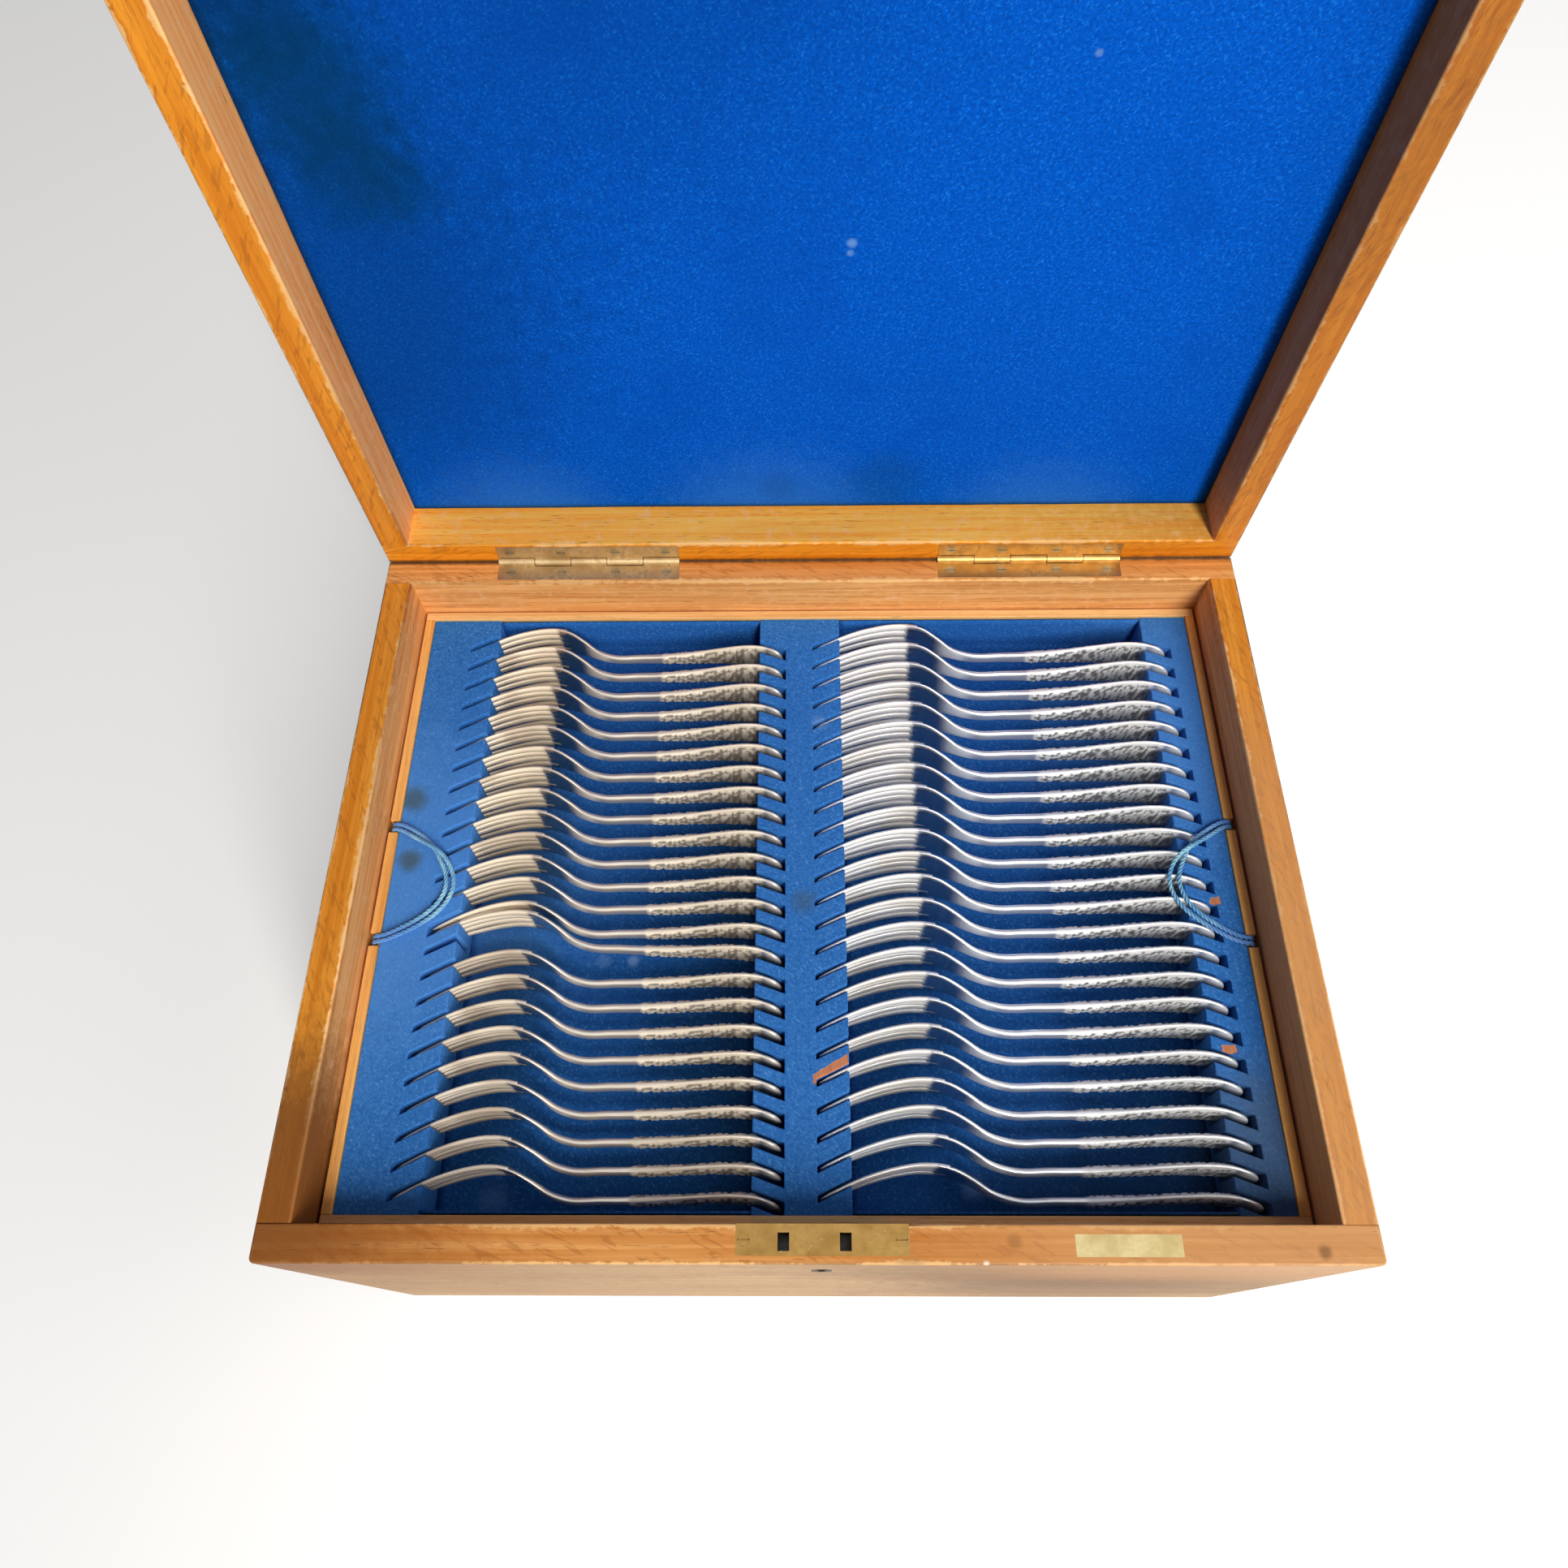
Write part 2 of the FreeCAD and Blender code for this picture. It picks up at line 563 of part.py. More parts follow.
def hinge_nodes():
    nodes = {}
    for side, span in zip(("left", "right"), hinge_spans()):
        case_leaf = hinge_leaf(span, (RIM - LEAF_THICKNESS, RIM), 0)
        lid_leaf = hinge_leaf(span, (LID_RIM, LID_RIM + LEAF_THICKNESS), 1)
        nodes[side + "_hinge_case_leaf"] = cut_all(case_leaf, case_hinge_screws(screw_hole))
        nodes[side + "_hinge_lid_leaf"] = opened(cut_all(lid_leaf, lid_hinge_screws(screw_hole)))
        nodes[side + "_hinge_pin"] = rod_x(span, PIN_Y, PIN_Z, PIN_RADIUS)
    nodes["hinge_screws_case"] = Part.makeCompound(case_hinge_screws(screw))
    nodes["hinge_screws_lid"] = opened(Part.makeCompound(lid_hinge_screws(screw)))
    return nodes


def staple_places():
    return [STAPLE_OFFSET + side * STAPLE_SPACING / 2 for side in (-1, 1)]


def staple_y():
    return sum(lock_plate_y()) / 2 - STAPLE_FORWARD


def lock_inside():
    """Free room inside the lock: ranges on X, Y and Z."""
    x = around(LOCK_OFFSET, LOCK_BODY_LENGTH - 2 * LOCK_SHEET)
    y = (-CASE_INNER_Y - LOCK_BODY_DEPTH + LOCK_CAP_THICKNESS, -CASE_INNER_Y - LOCK_SHEET)
    top = RIM - LOCK_PLATE_THICKNESS
    return x, y, (top - LOCK_BODY_HEIGHT + LOCK_SHEET, top)


def lock_bolt():
    """Sliding bar with two hooked fingers that enter the staples, drawn unlocked."""
    x, y, z = lock_inside()
    bar_top = RIM - BOLT_BAR_DROP
    first = staple_places()[0]
    tip_gap = STAPLE_HOLE_WIDTH / 2 + BOLT_CLEARANCE
    post_reach = tip_gap + BOLT_FINGER_LENGTH
    bar_x = (first - post_reach - BOLT_POST_WIDTH, x[1] - BOLT_THROW - BOLT_CLEARANCE)
    bar = box(bar_x, (y[0] + BOLT_RUN, y[1] - BOLT_RUN), (bar_top - BOLT_BAR_HEIGHT, bar_top))
    finger_y = around(staple_y(), BOLT_FINGER_WIDTH)
    finger_top = RIM - BOLT_FINGER_DROP
    hooks = []
    for place in staple_places():
        elbow = place - post_reach
        post = box((elbow - BOLT_POST_WIDTH, elbow), finger_y, (bar_top, finger_top))
        finger = box((elbow, place - tip_gap), finger_y, (finger_top - BOLT_FINGER_HEIGHT, finger_top))
        hooks += [post, finger]
    talon = rod_y(LOCK_OFFSET, (y[0], y[1]), bar_top - BOLT_BAR_HEIGHT, BOLT_TALON_RADIUS)
    return bar.multiFuse(hooks).cut(talon).removeSplitter()


def lock_spring():
    """Bow spring behind the staples: ends under the plate, its belly on the bolt."""
    x, y, z = lock_inside()
    spring_y = (y[1] - BOLT_RUN - SPRING_WIDTH, y[1] - BOLT_RUN)
    high = z[1]
    low = RIM - BOLT_BAR_DROP + BOLT_RUN
    ends = around(STAPLE_OFFSET, SPRING_SPAN)
    middle = sum(ends) / 2
    lower = Part.Arc(
        Vector(ends[0], spring_y[0], high - SPRING_THICKNESS),
        Vector(middle, spring_y[0], low),
        Vector(ends[1], spring_y[0], high - SPRING_THICKNESS),
    ).toShape()
    upper = Part.Arc(
        Vector(ends[1], spring_y[0], high),
        Vector(middle, spring_y[0], low + SPRING_THICKNESS),
        Vector(ends[0], spring_y[0], high),
    ).toShape()
    closing = [
        Part.makeLine(lower.Vertexes[-1].Point, upper.Vertexes[0].Point),
        Part.makeLine(upper.Vertexes[-1].Point, lower.Vertexes[0].Point),
    ]
    wire = Part.Wire(Part.__sortEdges__([lower, upper] + closing))
    return Part.Face(wire).extrude(Vector(0, SPRING_WIDTH, 0))


def lock_nodes():
    """Box lock, its plate on the rim, and the link plate on the lid."""
    x, y, z = lock_inside()
    plate_x = around(LOCK_OFFSET, LOCK_PLATE_LENGTH)
    hole_y = around(staple_y(), STAPLE_HOLE_DEPTH)
    holes = [
        box(around(place, STAPLE_HOLE_WIDTH), hole_y, (RIM - LOCK_PLATE_THICKNESS - OVERRUN, RIM + OVERRUN))
        for place in staple_places()
    ]
    plate = box(plate_x, lock_plate_y(), (RIM - LOCK_PLATE_THICKNESS, RIM))
    front = -CASE_INNER_Y - LOCK_BODY_DEPTH
    shell = lock_body(0).cut(box(x, (front - OVERRUN, y[1]), z))
    ledge_top = RIM - BOLT_BAR_DROP - BOLT_BAR_HEIGHT - BOLT_RUN
    ledge = box(x, y, (ledge_top - LOCK_SHEET, ledge_top))
    ledge = ledge.cut(box(around(LOCK_OFFSET, LEDGE_GAP_WIDTH), y, (ledge_top - LOCK_SHEET, ledge_top)))
    cap = box(x, (front, y[0]), z).cut(keyhole((front - OVERRUN, y[1])))
    post = rod_y(LOCK_OFFSET, (front, y[1]), RIM - KEYHOLE_DROP, KEY_POST_RADIUS)
    link = box(plate_x, lock_plate_y(), (LID_RIM, LID_RIM + LINK_PLATE_THICKNESS))
    staples = []
    for place in staple_places():
        width = around(place, STAPLE_HOLE_WIDTH - 2 * STAPLE_CLEARANCE)
        depth = around(staple_y(), STAPLE_HOLE_DEPTH - 2 * STAPLE_CLEARANCE)
        staple = box(width, depth, (RIM - STAPLE_LENGTH, LID_RIM))
        eye_z = (RIM - STAPLE_LENGTH + STAPLE_BAR, LID_RIM - LINK_PLATE_THICKNESS)
        eye = box((width[0] - OVERRUN, width[1] + OVERRUN), around(staple_y(), EYE_WIDTH), eye_z)
        staples.append(staple.cut(eye))
    link = link.multiFuse(staples).removeSplitter()
    escutcheon = escutcheon_blank((FRONT_Y, FRONT_Y + ESCUTCHEON_DEPTH))
    return {
        "lock_plate": cut_all(plate, holes + lock_screws(screw_hole)),
        "lock_case": shell.fuse(ledge).removeSplitter(),
        "lock_cap": cap,
        "lock_bolt": lock_bolt(),
        "lock_spring": lock_spring(),
        "key_post": post,
        "lock_screws": Part.makeCompound(lock_screws(screw)),
        "keyhole_escutcheon": escutcheon.cut(keyhole((FRONT_Y - OVERRUN, FRONT_Y + OVERRUN))),
        "link_plate": opened(cut_all(link, link_screws(screw_hole))),
        "link_plate_screws": opened(Part.makeCompound(link_screws(screw))),
    }


def name_plate_nodes():
    plate = cut_all(name_plate_block(), name_pins(NAME_PIN_RADIUS + SCREW_CLEARANCE))
    return {"name_plate": plate, "name_plate_pins": Part.makeCompound(name_pins(NAME_PIN_RADIUS))}


class ForkKind:
    """One size of fork: its outline, its side curve and its place in a bay."""

    def __init__(self, length, tine_span, handle_width, rise, tip_x):
        self.length = length
        self.tine_span = tine_span
        self.handle_width = handle_width
        self.rise = rise
        self.tip_x = tip_x

    def curve(self):
        points = [Vector(s * self.length, r * self.rise, 0) for s, r in PROFILE_SHARES]
        line = Part.BSplineCurve()
        line.interpolate(points)
        return line

    def thickness(self, share):
        sizes = (
            TINE_THICKNESS, BOWL_THICKNESS, NECK_THICKNESS,
            NECK_THICKNESS, HANDLE_THICKNESS, HANDLE_THICKNESS,
        )
        stops = list(zip(THICKNESS_SHARES, sizes))
        for (a, low), (b, high) in zip(stops, stops[1:]):
            if share <= b:
                return low + (high - low) * (share - a) / (b - a)

    def band(self):
        """Side view of the fork as a strip of varying thickness, swept over its width."""
        line = self.curve()
        upper = []
        lower = []
        for share, rise in PROFILE_SHARES:
            point = Vector(share * self.length, rise * self.rise, 0)
            run = line.tangent(line.parameter(point))[0]
            normal = Vector(-run.y, run.x, 0).normalize() * (self.thickness(share) / 2)
            upper.append(point + normal)
            lower.append(point - normal)
        top = Part.BSplineCurve()
        top.interpolate(upper)
        under = Part.BSplineCurve()
        under.interpolate(lower[::-1])
        end = Part.makeLine(upper[-1], lower[-1])
        tip = Part.makeLine(lower[0], upper[0])
        edges = [top.toShape(), end, under.toShape(), tip]
        face = Part.Face(Part.Wire(edges))
        face.translate(Vector(0, 0, -self.tine_span))
        return face.extrude(Vector(0, 0, 2 * self.tine_span))

    def outline(self):
        """Front view of the fork, swept over the height of its side curve."""
        depth = 2 * self.rise
        half = self.tine_span / 2
        side = [Vector(s * self.length, -depth, w * half) for s, w in BOWL_SHARES]
        side += [Vector(s * self.length, -depth, w * self.handle_width / 2) for s, w in HANDLE_SHARES]
        end = Vector(self.length, -depth, 0)
        other = [Vector(p.x, p.y, -p.z) for p in side[::-1]]
        body = Part.BSplineCurve()
        body.interpolate(side + [end] + other)
        corners = [side[0], Vector(0, -depth, half), Vector(0, -depth, -half), other[-1]]
        edges = [body.toShape()] + [Part.makeLine(a, b) for a, b in zip(corners, corners[1:])]
        solid = Part.Face(Part.Wire(Part.__sortEdges__(edges))).extrude(Vector(0, 2 * depth, 0))
        return cut_all(solid, self.tine_gaps(depth))

    def tine_gaps(self, depth):
        width = TINE_WIDTH_SHARE * self.tine_span
        gap = (self.tine_span - TINES * width) / (TINES - 1)
        root = TINE_ROOT_SHARE * self.length - gap / 2
        gaps = []
        for i in range(TINES - 1):
            z = -self.tine_span / 2 + (i + 1) * width + (i + 0.5) * gap
            slot = box((-OVERRUN, root), (-depth, depth), around(z, gap))
            gaps.append(slot.fuse(rod_y(root, (-depth, depth), z, gap / 2)))
        return gaps

    def solid(self):
        return self.band().common(self.outline())

    def tine_slot(self, extra):
        """Slot for the tines at a rack's right-hand edge, in fork coordinates."""
        share, rise_share = PROFILE_SHARES[1]
        slope = rise_share * self.rise / (share * self.length)
        ends = (-SLOT_END_GAP, TINE_SEAT + OVERRUN)
        half = TINE_SLOT / 2
        corners = (
            (ends[0], slope * ends[0] - half - extra), (ends[1], slope * ends[1] - half - extra),
            (ends[1], slope * ends[1] + half), (ends[0], slope * ends[0] + half),
        )
        floor = -self.tine_span / 2 - SEAT_GAP
        return prism_z(corners, (floor, self.tine_span))

    def handle_slot(self):
        """Slot for the handle's end at a rack's left-hand edge, in fork coordinates."""
        drop = PROFILE_SHARES[-1][1] * self.rise
        ends = (self.length - HANDLE_SEAT - OVERRUN, self.length + SLOT_END_GAP)
        slope = drop / HANDLE_SEAT
        half = HANDLE_SLOT / 2
        bend = self.length - HANDLE_SEAT
        corners = (
            (ends[0], -half), (bend, -half), (ends[1], slope * HANDLE_SEAT - half),
            (ends[1], slope * HANDLE_SEAT + half), (bend, half), (ends[0], half),
        )
        floor = -self.handle_width / 2 - SEAT_GAP
        return prism_z(corners, (floor, self.tine_span))

    def place(self, shape, row):
        return moved(shape, self.tip_x, FIRST_FORK_Y - row * FORK_PITCH, FORK_AXIS)


DESSERT = ForkKind(
    DESSERT_LENGTH, DESSERT_TINE_SPAN, DESSERT_HANDLE_WIDTH, DESSERT_RISE, LEFT_RACK[1] - TINE_SEAT)
TABLE = ForkKind(
    TABLE_LENGTH, TABLE_TINE_SPAN, TABLE_HANDLE_WIDTH, TABLE_RISE, CENTRE_RACK[1] - TINE_SEAT)


def fork_rows(kind, leaning):
    """All forks of a bay; the leaning one has its tines beside those of the fork behind it."""
    fork = kind.solid()
    rows = []
    for row in range(FORKS_PER_BAY):
        solid = fork
        if row == leaning:
            solid = fork.copy()
            lean = math.degrees(math.atan2(FORK_PITCH - LEAN_GAP, kind.length))
            solid.rotate(Vector(kind.length, 0, 0), Z_AXIS, -lean)
        rows.append(kind.place(solid, row))
    return Part.makeCompound(rows)


def tine_slots(kind, worn_row):
    slots = []
    for row in range(FORKS_PER_BAY):
        extra = WORN_SLOT_EXTRA if row == worn_row else 0
        slots.append(kind.place(kind.tine_slot(extra), row))
    return slots


def handle_slots(kind):
    return [kind.place(kind.handle_slot(), row) for row in range(FORKS_PER_BAY)]


def cord(route):
    """Round tube along straight runs joined by arcs as large as the runs allow."""
    points = [Vector(*p) for p in route]
    edges = []
    radii = []
    start = points[0]
    for before, corner, after in zip(points, points[1:], points[2:]):
        back = before - corner
        ahead = after - corner
        shorter = min(back.Length, ahead.Length)
        setback = CORD_ARC_SHARE * shorter
        turn = math.pi - back.getAngle(ahead)
        radii.append(setback / math.tan(turn / 2))
        first = corner + back.normalize() * setback
        last = corner + ahead.normalize() * setback
        middle_run = (first + last) * (1 / 2) - corner
        to_centre = math.hypot(radii[-1], setback)
        middle = corner + middle_run.normalize() * (to_centre - radii[-1])
        edges += [Part.LineSegment(start, first).toShape(), Part.Arc(first, middle, last).toShape()]
        start = last
    edges.append(Part.LineSegment(start, points[-1]).toShape())
    length = sum(edge.Length for edge in edges)
    run = (points[1] - points[0]).normalize()
    ring = Part.Wire(Part.makeCircle(CORD_DIAMETER / 2, points[0], run))
    tube = Part.Wire(edges).makePipeShell([ring], True, False)
    ratio = tube.Volume / (math.pi * CORD_DIAMETER ** 2 / 4 * length)
    print("cord length %.1f, least radius %.1f, others from %.1f, volume ratio %.4f"
          % (length, min(radii), min(radii[1:-1]), ratio))
    return tube


def cord_notches(side, places):
    """Notches over a tray side and grooves down its outer face; side is 1 or -1."""
    tools = []
    outer = side * TRAY_X
    for y in places:
        span = around(y, CORD_NOTCH_WIDTH)
        through = sorted((outer + side * OVERRUN, outer - side * (TRAY_STRIP + OVERRUN)))
        groove = sorted((outer + side * OVERRUN, outer - side * CORD_GROOVE_DEPTH))
        tools.append(box(through, span, (TRAY_TOP - CORD_NOTCH_DEPTH, TRAY_TOP + OVERRUN)))
        tools.append(box(groove, span, (TRAY_TOP - CORD_GROOVE_DROP, TRAY_TOP + OVERRUN)))
    return tools


def strip_frame(z):
    """Four strips of a tray: front, back, left and right."""
    inner_x = TRAY_X - TRAY_STRIP
    inner_y = TRAY_Y - TRAY_STRIP
    return {
        "front": box((-TRAY_X, TRAY_X), (-TRAY_Y, -inner_y), z),
        "back": box((-TRAY_X, TRAY_X), (inner_y, TRAY_Y), z),
        "left_side": box((-TRAY_X, -inner_x), (-inner_y, inner_y), z),
        "right_side": box((inner_x, TRAY_X), (-inner_y, inner_y), z),
    }


def bay_lining(x):
    """Baize that covers a bay's floor and turns up its front and back."""
    y = TRAY_INNER_DEPTH / 2
    floor = TRAY_Z + TRAY_FLOOR
    span = (x[0] + BAIZE_CLEARANCE, x[1] - BAIZE_CLEARANCE)
    outer = box(span, (-y, y), (floor, RACK_TOP))
    return outer.cut(box(span, (-y + BAIZE, y - BAIZE), (floor + BAIZE, RACK_TOP)))


def tray_nodes():
    """Lift-out tray with its racks, linings, forks and cords."""
    strips = strip_frame((TRAY_Z, TRAY_TOP))
    y = (-TRAY_INNER_DEPTH / 2, TRAY_INNER_DEPTH / 2)
    rack_z = (TRAY_Z + TRAY_FLOOR, RACK_TOP)
    inner_x = (-TRAY_INNER_WIDTH / 2, TRAY_INNER_WIDTH / 2)
    left = box(LEFT_RACK, y, rack_z)
    centre = box(CENTRE_RACK, y, rack_z)
    right = box(RIGHT_RACK, y, rack_z)
    return {
        "tray_front": strips["front"],
        "tray_back": strips["back"],
        "tray_left_side": cut_all(strips["left_side"], cord_notches(-1, LEFT_NOTCHES)),
        "tray_right_side": cut_all(strips["right_side"], cord_notches(1, RIGHT_NOTCHES)),
        "tray_floor": box(inner_x, y, (TRAY_Z, TRAY_Z + TRAY_FLOOR)),
        "left_rack": cut_all(left, tine_slots(DESSERT, LEANING_FORK - 1)),
        "centre_rack": cut_all(centre, handle_slots(DESSERT) + tine_slots(TABLE, None)),
        "right_rack": cut_all(right, handle_slots(TABLE)),
        "left_bay_lining": bay_lining((LEFT_RACK[1], CENTRE_RACK[0])),
        "right_bay_lining": bay_lining((CENTRE_RACK[1], RIGHT_RACK[0])),
        "dessert_forks": fork_rows(DESSERT, LEANING_FORK),
        "table_forks": fork_rows(TABLE, None),
        "left_cord_under": cord(LEFT_UNDER_ROUTE),
        "left_cord_over": cord(LEFT_OVER_ROUTE),
        "right_cord_under": cord(RIGHT_UNDER_ROUTE),
        "right_cord_over": cord(RIGHT_OVER_ROUTE),
    }


def lower_tray_nodes():
    """Empty trays under the top one, the second on top of the third and so on."""
    nodes = {}
    inner_x = (-TRAY_INNER_WIDTH / 2, TRAY_INNER_WIDTH / 2)
    inner_y = (-TRAY_INNER_DEPTH / 2, TRAY_INNER_DEPTH / 2)
    for i, name in enumerate(reversed(LOWER_TRAYS)):
        low = BOTTOM_BOARD + STACK_GAP + i * (LOWER_TRAY_HEIGHT + STACK_GAP)
        floor = low + LOWER_FLOOR
        top = low + LOWER_TRAY_HEIGHT
        strips = strip_frame((low, top))
        nodes[name + "_tray_frame"] = Part.makeCompound(list(strips.values()))
        nodes[name + "_tray_floor"] = box(inner_x, inner_y, (low, floor))
        divider_z = (floor, top - DIVIDER_DROP)
        nodes[name + "_tray_divider"] = box(around(0, DIVIDER_THICKNESS), inner_y, divider_z)
    return nodes


def main():
    os.makedirs("parts", exist_ok=True)
    nodes = {}
    makers = (case_nodes, lid_nodes, hinge_nodes, lock_nodes, name_plate_nodes, tray_nodes, lower_tray_nodes)
    for make in makers:
        nodes.update(make())
    for name, shape in nodes.items():
        if not shape.isValid():
            print("not valid:", name)
        shape.exportStep("parts/%s.step" % name)
    print("case %.1f x %.1f x %.1f, rim to lid top %.1f, %d nodes"
          % (2 * CASE_X, BACK_Y - FRONT_Y, RIM, LID_GAP + LID_RAIL + LID_TOP, len(nodes)))


main()
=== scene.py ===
"""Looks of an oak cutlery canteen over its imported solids. Metres, +Z up, +Y to the back, lid open."""
import json
import math

import bmesh
import bpy
import numpy as np
from mathutils import Matrix, Vector


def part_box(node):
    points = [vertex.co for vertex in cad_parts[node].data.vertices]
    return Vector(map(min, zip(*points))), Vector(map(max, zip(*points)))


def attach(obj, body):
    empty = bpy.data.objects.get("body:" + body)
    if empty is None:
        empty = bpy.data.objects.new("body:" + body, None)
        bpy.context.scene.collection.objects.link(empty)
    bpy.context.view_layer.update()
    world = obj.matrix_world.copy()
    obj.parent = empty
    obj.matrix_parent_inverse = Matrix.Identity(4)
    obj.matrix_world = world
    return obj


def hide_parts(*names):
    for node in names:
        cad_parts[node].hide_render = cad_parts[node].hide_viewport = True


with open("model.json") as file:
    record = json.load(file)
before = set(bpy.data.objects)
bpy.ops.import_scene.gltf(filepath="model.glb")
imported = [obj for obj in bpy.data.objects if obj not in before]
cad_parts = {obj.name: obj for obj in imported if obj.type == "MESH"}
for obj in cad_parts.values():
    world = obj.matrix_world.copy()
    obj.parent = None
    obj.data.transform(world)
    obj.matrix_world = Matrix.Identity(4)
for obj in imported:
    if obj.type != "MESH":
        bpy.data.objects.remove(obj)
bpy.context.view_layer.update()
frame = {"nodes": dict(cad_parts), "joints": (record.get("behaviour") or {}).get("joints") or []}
nodes = frame["nodes"]

# Camera: turns in degrees, focal length in pixels of the square frame
FRAME_PIXELS = 1932
FOCAL_PIXELS = 1401.3
SENSOR_WIDTH = 36.0
CAMERA_PLACE = (-0.00538, -0.22319, 0.73634)
CAMERA_PITCH = 62.69
CAMERA_YAW = -1.69
CAMERA_ROLL = -1.70

# Places read from the solids
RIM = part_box("case_front")[1].z
CASE_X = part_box("case_front")[1].x
CASE_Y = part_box("case_back")[1].y
INNER_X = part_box("case_right_side")[0].x
INNER_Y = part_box("case_back")[0].y
LID_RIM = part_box("lid_left_rail")[0].y
RACK_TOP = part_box("centre_rack")[1].z
PIN = Vector(next(j["pos_m"] for j in frame["joints"] if j["name"] == "lid_hinge"))
LID_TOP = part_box("lid_top")[1].y - PIN.y + PIN.z

# Darker patches on the front face: centre, reach and strength
FACE_DARK_PATCHES = (
    ((0.0500, -CASE_Y, 0.2050), 0.1000, 0.30),
    ((0.1250, -CASE_Y, 0.1750), 0.1300, 0.60),
    ((0.1450, -CASE_Y, 0.0800), 0.1500, 0.50),
    ((-0.1900, -CASE_Y, 0.1700), 0.1600, 0.20),
)
# Wood: depths of its skins, of wear and of dirt at the rims' edges, relief of its grain, lean of its rays
SKIN_DEPTHS = (0.0011, 0.0003)
WORN_DEPTHS = (0.0007, -0.0004)
RUB_RAGGED = 0.0075
RUB_BROAD = 0.0080
GRIME_DEPTHS = (0.0040, 0.0005)
GRAIN_BUMP = 0.00022
RAY_LEAN = 24
STRIP_BUMP = 0.00018
# Painted shade along the back edges of the rims, where case and lid meet
SEAM_SHADE = 0.0042
SEAM_SHADE_START = 0.0016
SEAM_SHADE_DEPTH = 0.0060
SEAM_SHADE_RAGGED = 0.0024

# Lifting cords: heights of their routes, also where one strand crosses over the other
CORD_DIAMETER = 0.0024
CORD_END_Z = 0.1936
CORD_REST_Z = 0.1992
CROSSING_HEIGHTS = (0.2003, 0.2024, 0.2024, 0.2003)
CROSSING_START = 2
# Their places seen from above, from the back notch to the front notch, as in the solids
LEFT_UNDER = (
    (-0.2189, 0.0314), (-0.2128, 0.0308), (-0.2046, 0.0264), (-0.1968, 0.0204), (-0.1914, 0.0122),
    (-0.1872, 0.0043), (-0.1855, -0.0035), (-0.1874, -0.0112), (-0.1927, -0.0178), (-0.1998, -0.0232),
    (-0.2071, -0.0272), (-0.2132, -0.0302), (-0.2189, -0.0308),
)
LEFT_OVER = (
    (-0.2189, 0.0286), (-0.2132, 0.0279), (-0.2064, 0.0236), (-0.1982, 0.0186), (-0.1896, 0.0138),
    (-0.1838, 0.0057), (-0.1815, -0.0035), (-0.1842, -0.0128), (-0.1903, -0.0202), (-0.1982, -0.0258),
    (-0.2059, -0.0299), (-0.2130, -0.0330), (-0.2189, -0.0336),
)
RIGHT_UNDER = (
    (0.2189, 0.0314), (0.2127, 0.0308), (0.2045, 0.0260), (0.1962, 0.0195), (0.1912, 0.0106),
    (0.1873, 0.0027), (0.1866, -0.0047), (0.1889, -0.0124), (0.1942, -0.0193), (0.2009, -0.0248),
    (0.2077, -0.0292), (0.2134, -0.0319), (0.2189, -0.0324),
)
RIGHT_OVER = (
    (0.2189, 0.0286), (0.2134, 0.0279), (0.2065, 0.0230), (0.1978, 0.0175), (0.1888, 0.0124),
    (0.1827, 0.0043), (0.1814, -0.0053), (0.1851, -0.0146), (0.1918, -0.0217), (0.1991, -0.0272),
    (0.2063, -0.0318), (0.2129, -0.0347), (0.2189, -0.0352),
)
# Each cord: its node, its places, whether it crosses over, and its length in the solids
CORDS = (
    ("left_cord_under", LEFT_UNDER, False, 0.1067),
    ("left_cord_over", LEFT_OVER, True, 0.1128),
    ("right_cord_under", RIGHT_UNDER, False, 0.1065),
    ("right_cord_over", RIGHT_OVER, True, 0.1139),
)
CORD_LINE_STEPS = 12
CORD_PLIES = 3
PLY_RADIUS = 0.00062
PLY_STEP = 0.0004
CORD_LAY = 0.0075
PLY_SIDES = 8
NOTCH_FADE = (0.017, 0.032)
SILK_BUMP = 0.00012

# Forks
FORKS_PER_BAY = 24
FORK_PITCH = 0.0129
FORK_STRAY = 0.0003
FORK_SEED = 7
LEANING_FORK = 14
LEAN_GAP = 0.0025
DESSERT_SIZES = {"length": 0.177, "tine_span": 0.022, "handle_width": 0.0196, "rise": 0.0144}
TABLE_SIZES = {"length": 0.1995, "tine_span": 0.025, "handle_width": 0.022, "rise": 0.0152}
BACK_MARGIN = 0.019
TINES = 4
TINE_WIDTH_SHARE = 0.228
TIP_SPAN_SHARE = 0.80
TIP_REACH_SHARE = 0.12
TINE_POINT_SHARE = 0.42
TINE_ROOT_SHARE = 0.295
BOWL_START_SHARE = 0.262
TINE_THICKNESS = 0.0024
TINE_POINT_THICKNESS = 0.0015
BOWL_DISH = 0.0012
DISH_SHARES = (0.30, 0.40)
TINE_RINGS = 18
TINE_RING_POWER = 1.6
TINE_TAPER_POWER = 0.7
POINT_SHARE = 0.018
POINT_LEAST_SHARE = 0.22
TINE_SIDES = 8
BODY_SIDES = 28
SPINE_STEP_SHARE = 0.001
# Rings of a fork's body: its rounded nose between the tines, bowl and neck, relief, tongue and rounded end
NOSE_SHARE = 0.006
NOSE_STEP_SHARES = (0.0, 0.25, 0.6, 1.0)
NOSE_WIDTH_SHARE = 0.90
NOSE_THICKNESS_SHARE = 0.45
NECK_START_SHARE = 0.275
NECK_RINGS = 30
RELIEF_RINGS = 74
TONGUE_RINGS = 9
END_START_SHARE = 0.985
END_SHARE = 0.0149
END_RINGS = 6
END_TAPER_SHARE = 0.02
END_TAPER_STOP_SHARE = 1.002
END_LEAST_SHARE = 0.12
